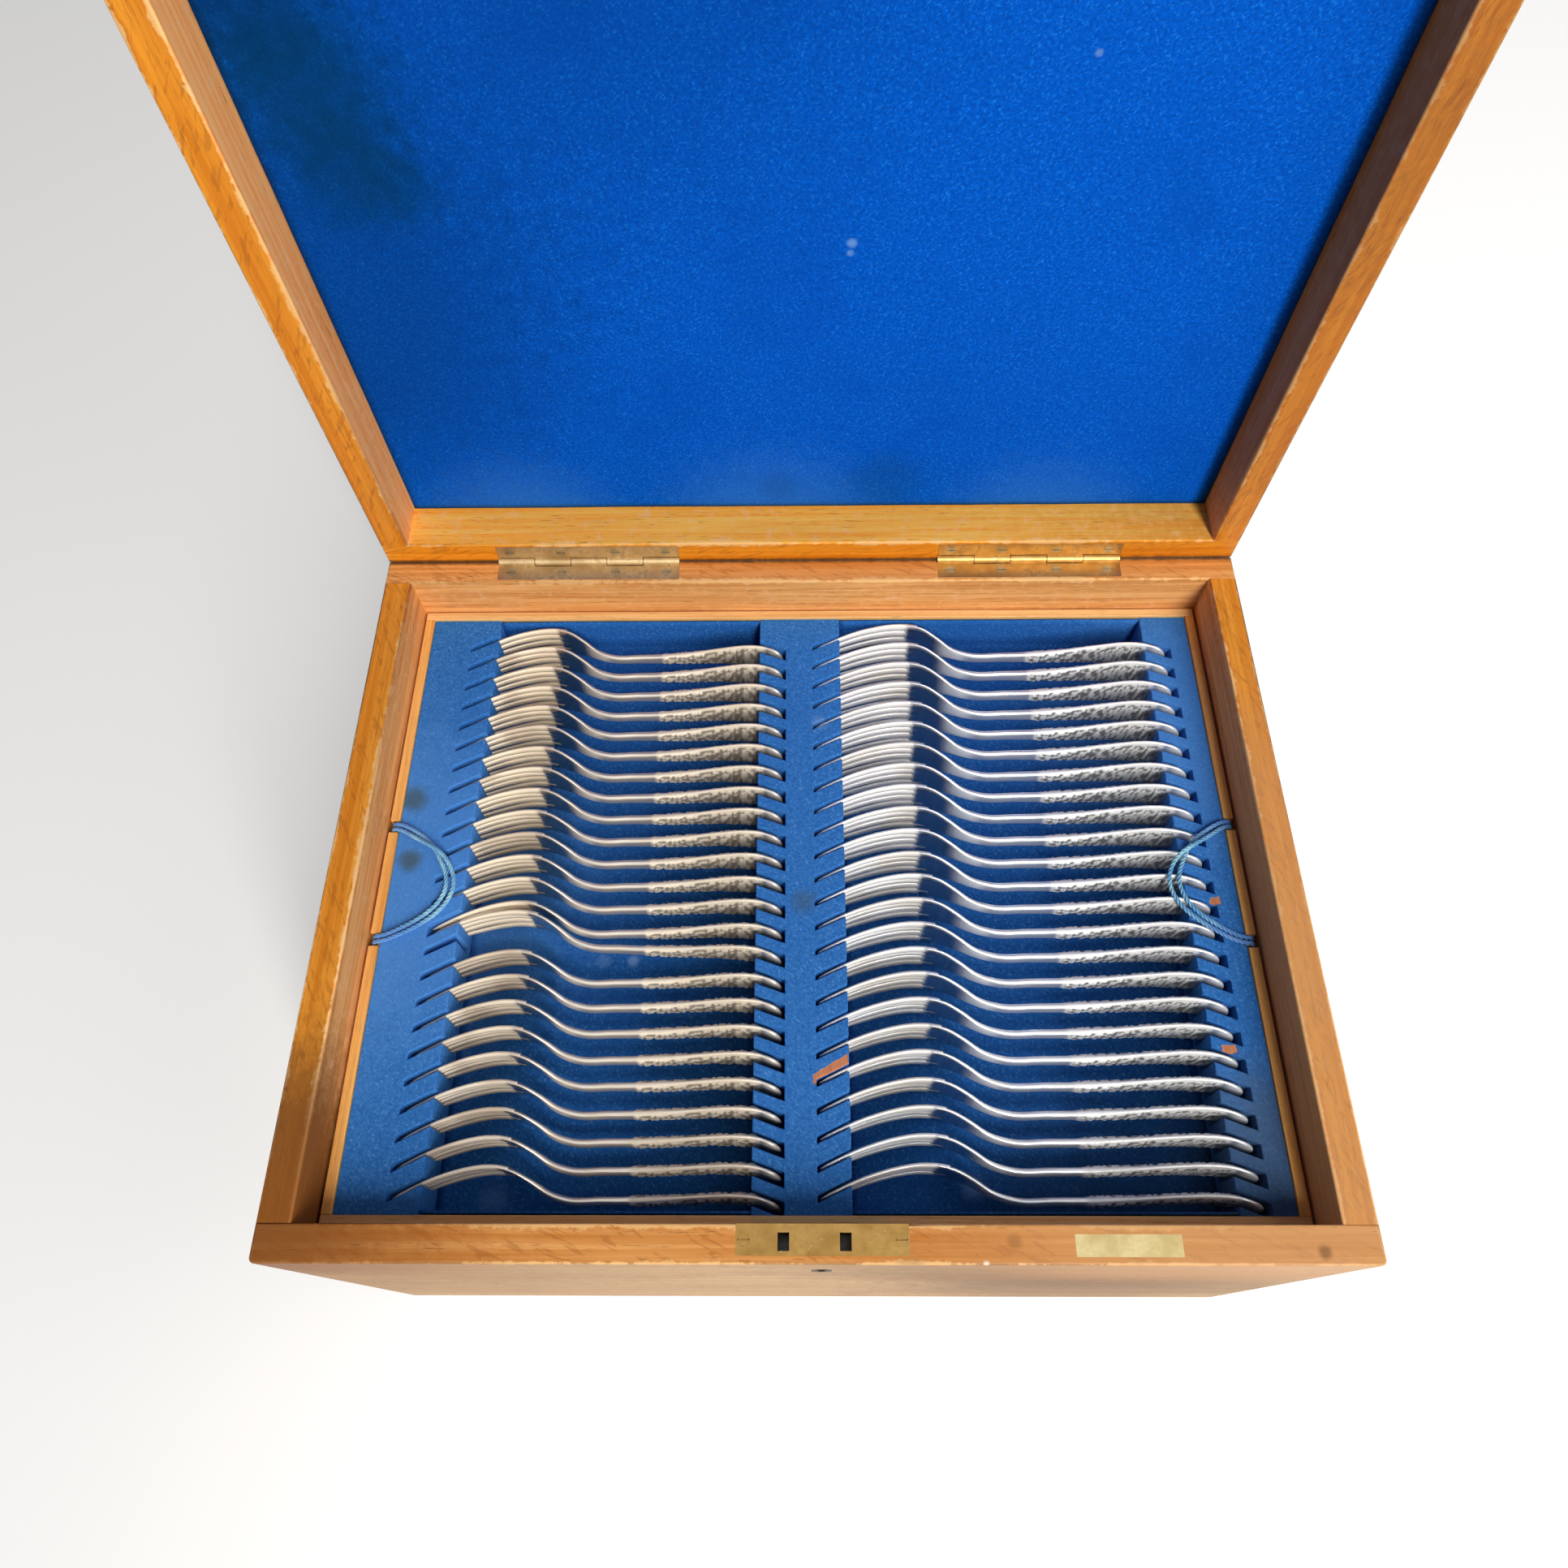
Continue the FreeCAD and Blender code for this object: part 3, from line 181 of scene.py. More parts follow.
# Sections, side view, widths and thicknesses of a fork
SECTION_POWER = 0.62
NECK_ROUNDING = 0.30
NECK_SHARE = 0.49
NECK_REACH_SHARE = 0.09
END_FULLNESS = 2.9
HANDLE_LIFT = 0.0020
LIFT_SHARES = (0.55, 0.90)
PROFILE_SHARES = (
    (0.0, 0.0), (0.09, 0.56), (0.17, 0.88), (0.24, 1.0), (0.30, 0.90), (0.35, 0.57), (0.395, 0.20),
    (0.44, 0.02), (0.54, 0.0), (0.72, 0.03), (0.82, 0.07), (0.88, 0.07), (0.94, 0.0), (1.0, -0.28),
)
BOWL_SHARES = ((0.25, 1.0), (0.27, 1.0), (0.315, 0.95), (0.355, 0.67), (0.39, 0.40), (0.43, 0.31))
HANDLE_SHARES = ((0.52, 0.33), (0.62, 0.37), (0.70, 0.49), (0.80, 0.75), (0.89, 0.98), (0.955, 0.95))
THICKNESS_STOPS = (
    (0.25, 0.0020), (0.36, 0.0026), (0.43, 0.0036), (0.58, 0.0038),
    (0.66, 0.0033), (0.74, 0.0027), (0.84, 0.0026), (0.93, 0.0028), (1.0, 0.0028),
)
# Relief on the handles: where it runs, its height, and the spacing and stray of its beads
RELIEF_SHARES = (0.600, 0.950)
RELIEF_FADE_SHARE = 0.012
RELIEF_HEIGHT = 0.0009
BEAD_SPACING = 0.0026
BEAD_STRAY_SHARE = 0.30
BEAD_REACH_SHARE = 0.62
STRAY_WAVES = (1271, 12.7, 7.3)
SLIDE_WAVES = (1753, 5.1, -9.7)
RELIEF_RISE = 16
RELIEF_FALL = 14
BORDER_SHARES = (0.88, 0.78)
# Where finish, painted reflection and painted sheen change along and across a fork, and from the back rows
# to the front
TINED_SHARES = (0.275, 0.255)
BOWL_START_SHARES = (0.264, 0.276)
BOWL_END_SHARES = (0.385, 0.340)
SHOULDER_START_SHARES = (0.345, 0.385)
SHOULDER_END_SHARES = (0.450, 0.415)
TONGUE_SHARES = (0.945, 0.970)
EDGE_SHARES = (0.97, 0.86)
NEAR_ROWS_Y = (0.05, -0.16)
# Relief of scratches on silver, brass and steel
PLATE_BUMP = 0.00022
BRASS_BUMP = 0.00008
STEEL_BUMP = 0.00006

# Edges and cloth; folds in degrees
ARRIS = 0.0010
ARRIS_STEPS = 3
STRIP_ARRIS = 0.0005
STRIP_ARRIS_STEPS = 2
FLAT_FOLD = 1
BOARD_FOLD = 60
RACK_FOLD = 40
SLIM_SHARE = 0.4
CLOTH_EDGE = 0.0006
CLOTH_EDGE_STEPS = 3
CLOTH_THICKNESS = 0.0010
CLOTH_STEP = 0.004
CLOTH_WAVE = 0.00018
WAVE_TURNS = ((61, 17), (29, -47), (11, 103))
TOUCH = 0.00002
SEAM_TOUCH = 0.0008
BAY_CORNER = 0.003
BAY_CORNER_TURNS = (22.5, 45.0, 67.5)
BAY_FLOOR = 0.1715
NAP_BUMP = 0.00032
NAP_TURN = 38
# Bare wood in the baize: raggedness and softness of its edge, and how far below the rack's top it reaches
BARE_RAGGED = 0.0030
BARE_EDGE = 0.0004
BARE_DEPTHS = (0.002, 0.001)
# Soft marks: raggedness, and size of the full middle
SPOT_RAGGED_SHARE = 0.9
SPOT_CORE_SHARE = 0.25

# Light: a tall narrow window in front, a soft screen at the right and a dim sky; angles in degrees
WINDOW = {"aside": 22.0, "elevation": 40.0, "distance": 3.0, "width": 0.40, "height": 2.2, "power": 95.0}
SIDE_SCREEN = {"aside": 72.0, "elevation": 38.0, "distance": 3.2, "width": 2.4, "height": 2.4, "power": 26.0}
LAMP_TONE = (1.0, 0.97, 0.93)
LIGHT_AIM = (0.0, 0.02, 0.25)
SKY_STRENGTH = 0.08
SKY_TONE = (0.93, 0.96, 1.0, 1.0)
WHITE = (1.0, 1.0, 1.0, 1.0)
FLOOR_SIZE = 8.0
FLOOR_DROP = 0.0004
FLOOR_TONE = (0.72, 0.72, 0.72, 1.0)
FLOOR_GLOW = 0.56
FLOOR_SHADE_SHARE = 0.62
FLOOR_SHADE_X = (-0.45, 0.05)


class Value:
    """Output of a node, for use in Python expressions on numbers."""

    def __init__(self, graph, socket):
        self.graph = graph
        self.socket = socket

    def maths(self, operation, *numbers):
        return self.graph.node("ShaderNodeMath", {"operation": operation}, dict(enumerate(numbers)))

    def __add__(self, other):
        return self.maths("ADD", self, other)

    def __radd__(self, other):
        return self.maths("ADD", other, self)

    def __sub__(self, other):
        return self.maths("SUBTRACT", self, other)

    def __rsub__(self, other):
        return self.maths("SUBTRACT", other, self)

    def __mul__(self, other):
        return self.maths("MULTIPLY", self, other)

    def __rmul__(self, other):
        return self.maths("MULTIPLY", other, self)

    def __pow__(self, other):
        return self.maths("POWER", self, other)

    def __abs__(self):
        return self.maths("ABSOLUTE", self)

    def larger(self, other):
        return self.maths("MAXIMUM", self, other)

    def smaller(self, other):
        return self.maths("MINIMUM", self, other)


class Graph:
    """A node tree: node() adds any node, with its settings first and then its sockets' values or links."""

    def __init__(self, tree):
        self.tree = tree

    def node(self, kind, settings=None, sockets=None, output=0):
        made = self.tree.nodes.new(kind)
        for name, setting in (settings or {}).items():
            setattr(made, name, setting)
        for name, value in (sockets or {}).items():
            if isinstance(value, Value):
                self.tree.links.new(value.socket, made.inputs[name])
            else:
                made.inputs[name].default_value = value
        return Value(self, made.outputs[output]) if made.outputs else made


class Finish(Graph):
    """A material under construction."""

    def __init__(self, name):
        self.material = bpy.data.materials.new(name)
        self.material.use_nodes = True
        super().__init__(self.material.node_tree)
        self.tree.nodes.clear()
        self.place = self.node("ShaderNodeTexCoord", output="Object")

    def turned(self, place, turn, shift):
        return self.node("ShaderNodeMapping", {}, {"Vector": place, "Rotation": turn, "Location": shift})

    def stretched(self, place, scales):
        return self.node("ShaderNodeVectorMath", {"operation": "MULTIPLY"}, {0: place, 1: scales})

    def split(self, place):
        parted = self.node("ShaderNodeSeparateXYZ", {}, {"Vector": place}).socket.node
        return [Value(self, socket) for socket in parted.outputs]

    def joined(self, x, y, z):
        return self.node("ShaderNodeCombineXYZ", {}, {0: x, 1: y, 2: z})

    def noise(self, place, scale, detail=3.0, roughness=0.55, distortion=0.0):
        sockets = {"Vector": place, "Scale": scale, "Detail": detail, "Roughness": roughness}
        return self.node("ShaderNodeTexNoise", {}, sockets | {"Distortion": distortion})

    def cells(self, place, scale):
        return self.node("ShaderNodeTexVoronoi", {}, {"Vector": place, "Scale": scale})

    def ramp(self, value, low, high):
        """Smooth step from 0 at low to 1 at high; falls where low is the larger."""
        sockets = {"Value": value, "From Min": low, "From Max": high}
        return self.node("ShaderNodeMapRange", {"interpolation_type": "SMOOTHSTEP"}, sockets)

    def mixed(self, factor, first, second):
        """Colour between two: the first at 0, the second at 1."""
        return self.node("ShaderNodeMix", {"data_type": "RGBA"}, {0: factor, 6: first, 7: second}, output=2)

    def spot(self, place, centre, reach, ragged):
        """Soft round mark: 1 at its centre, 0 from reach outwards, with a ragged outline."""
        ends = {0: place, 1: centre}
        away = self.node("ShaderNodeVectorMath", {"operation": "DISTANCE"}, ends, output="Value")
        return self.ramp(away * (1 + (ragged - 0.5) * SPOT_RAGGED_SHARE), reach, reach * SPOT_CORE_SHARE)

    def layered(self, colour, *layers):
        """Colour under layers from the lowest up, each a factor and a tone."""
        for factor, tone in layers:
            colour = self.mixed(factor, colour, tone)
        return colour

    def marked(self, colour, place, marks, ragged):
        """Colour under soft marks, each a centre, a reach, a tone and a strength."""
        for centre, reach, tone, strength in marks:
            colour = self.mixed(self.spot(place, centre, reach, ragged) * strength, colour, tone)
        return colour

    def bump(self, height, distance, strength):
        sockets = {"Height": height, "Distance": distance, "Strength": strength}
        return self.node("ShaderNodeBump", {}, sockets)

    def surface(self, sockets):
        shader = self.node("ShaderNodeBsdfPrincipled", {}, sockets)
        self.node("ShaderNodeOutputMaterial", {}, {"Surface": shader})
        return self.material


def srgb(red, green, blue):
    """Colour as a screen shows it, 0 to 255, in linear values."""
    shares = [value / 255 for value in (red, green, blue)]
    linear = [s / 12.92 if s <= 0.04045 else ((s + 0.055) / 1.055) ** 2.4 for s in shares]
    return (*linear, 1.0)


def link(obj):
    bpy.context.scene.collection.objects.link(obj)
    return obj


def dressed(name, mesh, body, slot, *replaced):
    """Finished mesh as a piece that rides on a body and stands for CAD nodes."""
    piece = link(bpy.data.objects.new(name, mesh))
    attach(piece, body)
    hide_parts(*replaced)
    return piece


# Camera

def place_camera():
    data = bpy.data.cameras.new("photo_camera")
    data.sensor_width = SENSOR_WIDTH
    data.lens = SENSOR_WIDTH * FOCAL_PIXELS / FRAME_PIXELS
    camera = link(bpy.data.objects.new("photo_camera", data))
    heading = Matrix.Rotation(math.radians(-CAMERA_YAW), 4, "Z")
    tilt = Matrix.Rotation(math.radians(90 - CAMERA_PITCH), 4, "X")
    roll = Matrix.Rotation(math.radians(CAMERA_ROLL), 4, "Z")
    camera.matrix_world = Matrix.Translation(CAMERA_PLACE) @ heading @ tilt @ roll
    bpy.context.scene.camera = camera


# Wood

def closed_place(finish):
    """Coordinates of a lid piece as if the lid were shut, so that case and lid share one rule."""
    shift = (0, PIN.y + PIN.z, PIN.z - PIN.y)
    return finish.turned(finish.place, (math.radians(90), 0, 0), shift)


def grain_run(finish, place, grain_axis):
    """Coordinates along the grain, across it and down."""
    x, y, z = finish.split(place)
    return finish.joined(x, y, z) if grain_axis == "X" else finish.joined(y, x, z)


def grain_layers(finish, run):
    """Fibre, broad drift of colour, growth bands and pores of oak: numbers from 0 to 1."""
    fibre = finish.noise(finish.stretched(run, (9, 420, 420)), 1.0, 5.0, 0.6, 0.4)
    drift = finish.noise(finish.stretched(run, (5, 24, 24)), 1.0, 2.0)
    bands = finish.noise(finish.stretched(run, (3.2, 150, 150)), 1.0, 2.0, 0.5, 1.6)
    pores = finish.noise(finish.stretched(run, (110, 2300, 2300)), 1.0, 2.0)
    return fibre, drift, bands, pores


def grain_rays(finish, run):
    """Short rays of quarter-sawn oak, which lean across the grain."""
    lean = finish.turned(run, (0, 0, math.radians(RAY_LEAN)), (0, 0, 0))
    return finish.noise(finish.stretched(lean, (85, 430, 300)), 1.0, 2.0, 0.5, 0.6)


def oak(name, grain_axis, lid, rim_tones, wall_tones, face_tones):
    """Old oak: polished rims with worn arrises, dry inner walls and faded outer faces."""
    finish = Finish(name)
    place = closed_place(finish) if lid else finish.place
    x, y, z = finish.split(place)
    run = grain_run(finish, place, grain_axis)
    fibre, drift, bands, pores = grain_layers(finish, run)
    rays = grain_rays(finish, run)
    ragged = finish.noise(place, 160.0, 4.0, 0.65)
    broad = finish.noise(place, 21.0, 3.0)
    out_of_well = (abs(x) - INNER_X).larger(abs(y) - INNER_Y)
    in_from_face = (CASE_X - abs(x)).smaller(CASE_Y - abs(y))
    below_rim = abs(z - RIM)
    top = finish.ramp(LID_TOP - z, *SKIN_DEPTHS)
    wall = finish.ramp(out_of_well, *SKIN_DEPTHS) * (1 - top)
    face = finish.ramp(in_from_face, *SKIN_DEPTHS).larger(top)
    streak = finish.ramp(bands * 0.55 + fibre * 0.45, 0.34, 0.66)
    dark = finish.ramp(pores, 0.60, 0.70) * finish.ramp(bands, 0.35, 0.6)
    flecks = finish.ramp(rays, 0.55, 0.66)
    walls = finish.mixed(finish.ramp(fibre, 0.3, 0.7), *wall_tones)
    faces = finish.layered(
        finish.mixed(streak, *face_tones),
        (finish.ramp(broad, 0.50, 0.76) * 0.30, srgb(138, 92, 54)),
        (finish.ramp(ragged, 0.58, 0.76) * 0.14, srgb(222, 190, 146)),
    )
    gloss = (1 - wall) * 0.24 - ragged * 0.10
    # Darker patches on the front face, with less coat on them
    for centre, reach, strength in () if lid else FACE_DARK_PATCHES:
        darker_patch = finish.spot(place, centre, reach, ragged) * strength
        faces = finish.mixed(darker_patch, faces, srgb(84, 58, 36))
        gloss = gloss * (1 - darker_patch * face)
    inner_edge = (out_of_well * out_of_well + below_rim * below_rim) ** 0.5
    outer_edge = (in_from_face * in_from_face + below_rim * below_rim) ** 0.5
    rubbed = (ragged - 0.42) * RUB_RAGGED + (broad - 0.45) * RUB_BROAD
    worn = finish.ramp(inner_edge.smaller(outer_edge * 1.5) - rubbed, *WORN_DEPTHS)
    grime = finish.ramp(broad, 0.60, 0.74) * finish.ramp(outer_edge, *GRIME_DEPTHS)
    # Painted shade: a dark band on the back edges of case and lid, where they meet
    seam_shade = finish.ramp(CASE_Y - y + (ragged - 0.5) * SEAM_SHADE_RAGGED, SEAM_SHADE, SEAM_SHADE_START)
    seam_shade = seam_shade * finish.ramp(below_rim, SEAM_SHADE_DEPTH, SEAM_SHADE)
    colour = finish.layered(
        finish.mixed(streak, *rim_tones),
        (wall, walls),
        (face, faces),
        (finish.ramp(drift, 0.40, 0.75) * 0.24, srgb(168, 92, 24)),
        (flecks * (1 - wall) * 0.36, srgb(150, 80, 24)),
        (dark * 0.50, srgb(96, 52, 22)),
        (wall * finish.ramp(ragged, 0.50, 0.72) * 0.40, srgb(240, 196, 150)),
        (worn * 0.70, srgb(248, 200, 134)),
        (grime * 0.40, srgb(74, 42, 22)),
        (seam_shade * 0.86, srgb(62, 36, 20)),
    )
    colour = finish.marked(colour, place, wood_marks(lid), ragged)
    rough = 0.34 + wall * 0.36 + face * 0.20 + dark * 0.12 + (fibre - 0.5) * 0.16
    height = fibre * 0.5 - dark * 0.9 + ragged * 0.25
    normal = finish.bump(height, GRAIN_BUMP, 0.55)
    return finish.surface({
        "Base Color": colour, "Roughness": rough, "Normal": normal, "IOR": 1.20,
        "Coat Weight": gloss, "Coat Roughness": 0.30,
    })


def wood_marks(lid):
    """Stains, chips, darker and paler places, and painted shade on the lid's right rail: centre, reach,
    colour and strength.
    """
    if lid:
        # Painted shade along the lid's right rail
        shade = srgb(124, 70, 30)
        return (
            ((CASE_X, -0.1400, RIM), 0.2000, shade, 0.50),
            ((CASE_X, 0.0400, RIM), 0.2000, shade, 0.45),
        )
    ring = srgb(70, 40, 22)
    chip = srgb(246, 226, 196)
    return (
        # Darker towards the front-left corner
        ((-0.2360, -0.1500, RIM), 0.0900, srgb(106, 62, 24), 0.84),
        ((-0.1950, -0.1760, RIM), 0.0900, srgb(150, 84, 24), 0.50),
        ((0.1500, -0.1760, RIM), 0.1300, srgb(224, 170, 116), 0.40),
        ((0.2270, -0.1200, RIM), 0.1500, srgb(206, 152, 104), 0.50),
        ((0.2270, 0.0000, RIM), 0.1300, srgb(206, 152, 104), 0.50),
        ((0.2121, -0.1788, RIM), 0.0042, ring, 0.55),
        ((0.2170, 0.1640, RIM), 0.0050, ring, 0.60),
        ((-0.2163, -0.1576, RIM), 0.0030, ring, 0.70),
        ((0.0715, -0.1834, RIM), 0.0018, chip, 0.90),
        ((0.0838, -0.1749, RIM), 0.0045, ring, 0.30),
    )


def strip_oak(name, grain_axis, tones):
    """Pale straight-grained oak of the trays."""
    finish = Finish(name)
    fibre, drift, bands, pores = grain_layers(finish, grain_run(finish, finish.place, grain_axis))
    streak = finish.ramp(bands * 0.4 + fibre * 0.6, 0.32, 0.68)
    dark = finish.ramp(pores, 0.60, 0.70)
    colour = finish.layered(
        finish.mixed(streak, *tones),
        (finish.ramp(drift, 0.4, 0.8) * 0.25, srgb(160, 96, 44)),
        (dark * 0.35, srgb(110, 62, 28)),
    )
    height = fibre * 0.5 - dark * 0.8
    normal = finish.bump(height, STRIP_BUMP, 0.5)
    rough = 0.52 + (fibre - 0.5) * 0.2
    return finish.surface({"Base Color": colour, "Roughness": rough, "Normal": normal, "IOR": 1.46})


def closed_point(point):
    """A point of the open lid, as it lies when the lid is shut."""
    return Vector((point.x, PIN.y - (point.z - PIN.z), PIN.z + (point.y - PIN.y)))


def on_outline(point, rim):
    """Whether a point lies on the inner or outer edge of a rim."""
    well = max(abs(point.x) - INNER_X, abs(point.y) - INNER_Y)
    face = max(abs(point.x) - CASE_X, abs(point.y) - CASE_Y)
    return abs(point.z - rim) < TOUCH and (abs(well) < TOUCH or face > -SEAM_TOUCH)


def merged(node):
    """Editable copy of a node's mesh, its triangles joined into plain faces."""
    work = bmesh.new()
    work.from_mesh(nodes[node].data)
    bmesh.ops.remove_doubles(work, verts=work.verts, dist=TOUCH / 4)
    bmesh.ops.dissolve_limit(work, angle_limit=math.radians(FLAT_FOLD), verts=work.verts, edges=work.edges)
    return work


def rounded(work, chosen, radius, segments):
    """Rounds the chosen edges, and shades only the slim new strips smoothly."""
    bmesh.ops.bevel(
        work, geom=chosen, offset=radius, offset_type="OFFSET", segments=segments, profile=0.5,
        affect="EDGES", clamp_overlap=True,
    )
    for face in work.faces:
        face.smooth = face.calc_area() < SLIM_SHARE * radius * face.calc_perimeter()
    return work


def mesh_of(work, name, material):
    mesh = bpy.data.meshes.new(name)
    work.to_mesh(mesh)
    work.free()
    mesh.materials.clear()
    mesh.materials.append(material)
    old_normals = mesh.attributes.get("custom_normal")
    if old_normals:
        mesh.attributes.remove(old_normals)
    return mesh


def sharp_edges(work, least):
    """Edges where two faces meet at more than an angle in degrees."""
    folded = [edge for edge in work.edges if len(edge.link_faces) == 2]
    return [edge for edge in folded if edge.calc_face_angle(0) > math.radians(least)]


def board(node, body, slot, material, lid):
    """Board with its rim edges rounded by wear."""
    work = merged(node)
    rim = LID_RIM - PIN.y + PIN.z if lid else RIM
    chosen = []
    for edge in sharp_edges(work, BOARD_FOLD):
        middle = (edge.verts[0].co + edge.verts[1].co) / 2
        if on_outline(closed_point(middle) if lid else middle, rim):
            chosen.append(edge)
    mesh = mesh_of(rounded(work, chosen, ARRIS, ARRIS_STEPS), node + "_worn", material)
    dressed(node + "_worn", mesh, body, slot, node)


def boards():
    front_rim = (srgb(208, 132, 60), srgb(242, 174, 102))
    side_rim = (srgb(212, 124, 24), srgb(242, 160, 54))
    case_wall = (srgb(214, 144, 78), srgb(248, 186, 116))
    lid_rim = (srgb(214, 122, 14), srgb(242, 156, 42))
    back_wall = (srgb(255, 164, 56), srgb(255, 198, 92))
    side_wall = (srgb(250, 160, 86), srgb(255, 194, 124))
    face = (srgb(170, 130, 82), srgb(204, 168, 116))
    for axis, case_rim, lid_wall, case_names, lid_names in (
        ("X", front_rim, back_wall,
         ("case_front", "case_back"), ("lid_front_rail", "lid_back_rail", "lid_top")),
        ("Y", side_rim, side_wall,
         ("case_left_side", "case_right_side"), ("lid_left_rail", "lid_right_rail")),
    ):
        case_oak = oak("case_oak_" + axis, axis, False, case_rim, case_wall, face)
        lid_oak = oak("lid_oak_" + axis, axis, True, lid_rim, lid_wall, face)
        for node in case_names:
            board(node, "case", "oak", case_oak, False)
        for node in lid_names:
            board(node, "lid", "oak", lid_oak, True)
    across = strip_oak("strip_oak_X", "X", (srgb(230, 170, 100), srgb(252, 208, 144)))
    endways = strip_oak("strip_oak_Y", "Y", (srgb(222, 150, 68), srgb(250, 192, 110)))
    for node, material in (
        ("tray_front", across), ("tray_back", across),
        ("tray_left_side", endways), ("tray_right_side", endways),
    ):
        work = merged(node)
        rounded(work, sharp_edges(work, BOARD_FOLD), STRIP_ARRIS, STRIP_ARRIS_STEPS)
        dressed(node + "_worn", mesh_of(work, node, material), "tray", "tray_oak", node)
    paint(across, "tray_floor", "case_bottom")
    for tray in ("second", "third", "bottom"):
        paint(across, tray + "_tray_frame", tray + "_tray_floor")
        paint(endways, tray + "_tray_divider")


def paint(material, *names):
    for name in names:
        mesh_slots = nodes[name].data.materials
        mesh_slots.clear()
        mesh_slots.append(material)


# Baize

def baize(name, tones, marks, bare, sheen):
    """Napped wool cloth: fibre, tufts, soft marks of dirt and of painted light and shade, and bare wood
    where it has worn through.
    """
    finish = Finish(name)
    place = finish.place
    comb = math.radians(NAP_TURN)
    combed = finish.turned(place, (0, comb, comb), (0, 0, 0))
    tufts = finish.noise(finish.stretched(combed, (240, 1050, 1050)), 1.0, 3.0, 0.6)
    nap = finish.noise(place, 620.0, 4.0, 0.65)
    cloud = finish.noise(place, 16.0, 3.0, 0.6)
    ragged = finish.noise(place, 120.0, 4.0, 0.65)
    colour = finish.layered(
        tones[0],
        (finish.ramp(nap, 0.26, 0.76), tones[1]),
        (finish.ramp(tufts, 0.52, 0.72) * 0.74, tones[2]),
        (finish.ramp(cloud, 0.48, 0.80) * 0.45, tones[0]),
    )
    colour = finish.marked(colour, place, marks, ragged)
    rough = 0.92
    height = tufts * 0.5 + nap * 0.8
    if bare:
        holes = None
        x, y, z = finish.split(place)
        for centre, half, slope in bare:
            skew = y - centre[1] - (x - centre[0]) * slope
            inside = (half[0] - abs(x - centre[0])).smaller(half[1] - abs(skew))
            hole = finish.ramp(inside + (ragged - 0.5) * BARE_RAGGED, 0.0, BARE_EDGE)
            hole = hole * finish.ramp(RACK_TOP - z, *BARE_DEPTHS)
            holes = hole if holes is None else holes.larger(hole)
        wood = finish.noise(finish.stretched(place, (500, 70, 300)), 1.0, 3.0)
        timber = finish.mixed(wood, srgb(164, 92, 58), srgb(226, 158, 116))
        colour = finish.mixed(holes, colour, timber)
        height = height * (1 - holes) - holes * 1.2
        rough = 0.92 - holes * 0.3
    normal = finish.bump(height, NAP_BUMP, 0.6)
    return finish.surface({
        "Base Color": colour, "Roughness": rough, "Normal": normal, "IOR": 1.14,
        "Sheen Weight": sheen, "Sheen Roughness": 0.5, "Sheen Tint": srgb(40, 120, 224),
    })


def lid_baize():
    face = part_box("lid_lining")[0].y
    stain = srgb(0, 52, 84)
    haze = srgb(58, 128, 212)
    dust = srgb(122, 172, 226)
    marks = (
        # Darker towards the left and the top of the lining
        ((-0.230, face, 0.380), 0.170, srgb(0, 46, 104), 0.55),
        ((-0.110, face, 0.570), 0.220, srgb(0, 54, 126), 0.45),
        ((-0.160, face, 0.225), 0.070, haze, 0.34),
        ((-0.020, face, 0.225), 0.080, haze, 0.34),
        ((0.130, face, 0.225), 0.070, haze, 0.30),
        ((-0.192, face, 0.478), 0.050, stain, 0.60),
        ((-0.187, face, 0.442), 0.038, stain, 0.46),
        ((-0.168, face, 0.437), 0.026, stain, 0.34),
        ((-0.206, face, 0.505), 0.044, stain, 0.44),
        # Darker in the top-left corner
        ((-0.222, face, 0.560), 0.090, srgb(0, 34, 84), 0.55),
        ((0.0414, face, 0.2602), 0.030, srgb(10, 64, 104), 0.28),
        ((-0.0159, face, 0.2563), 0.016, srgb(8, 54, 108), 0.20),
        ((0.0181, face, 0.4077), 0.0032, dust, 0.60),
        ((0.0175, face, 0.4030), 0.0024, dust, 0.45),
        ((0.1060, face, 0.4863), 0.0020, dust, 0.45),
    )
    return baize("lid_baize", (srgb(0, 72, 174), srgb(0, 96, 214), srgb(28, 130, 236)), marks, (), 0.05)


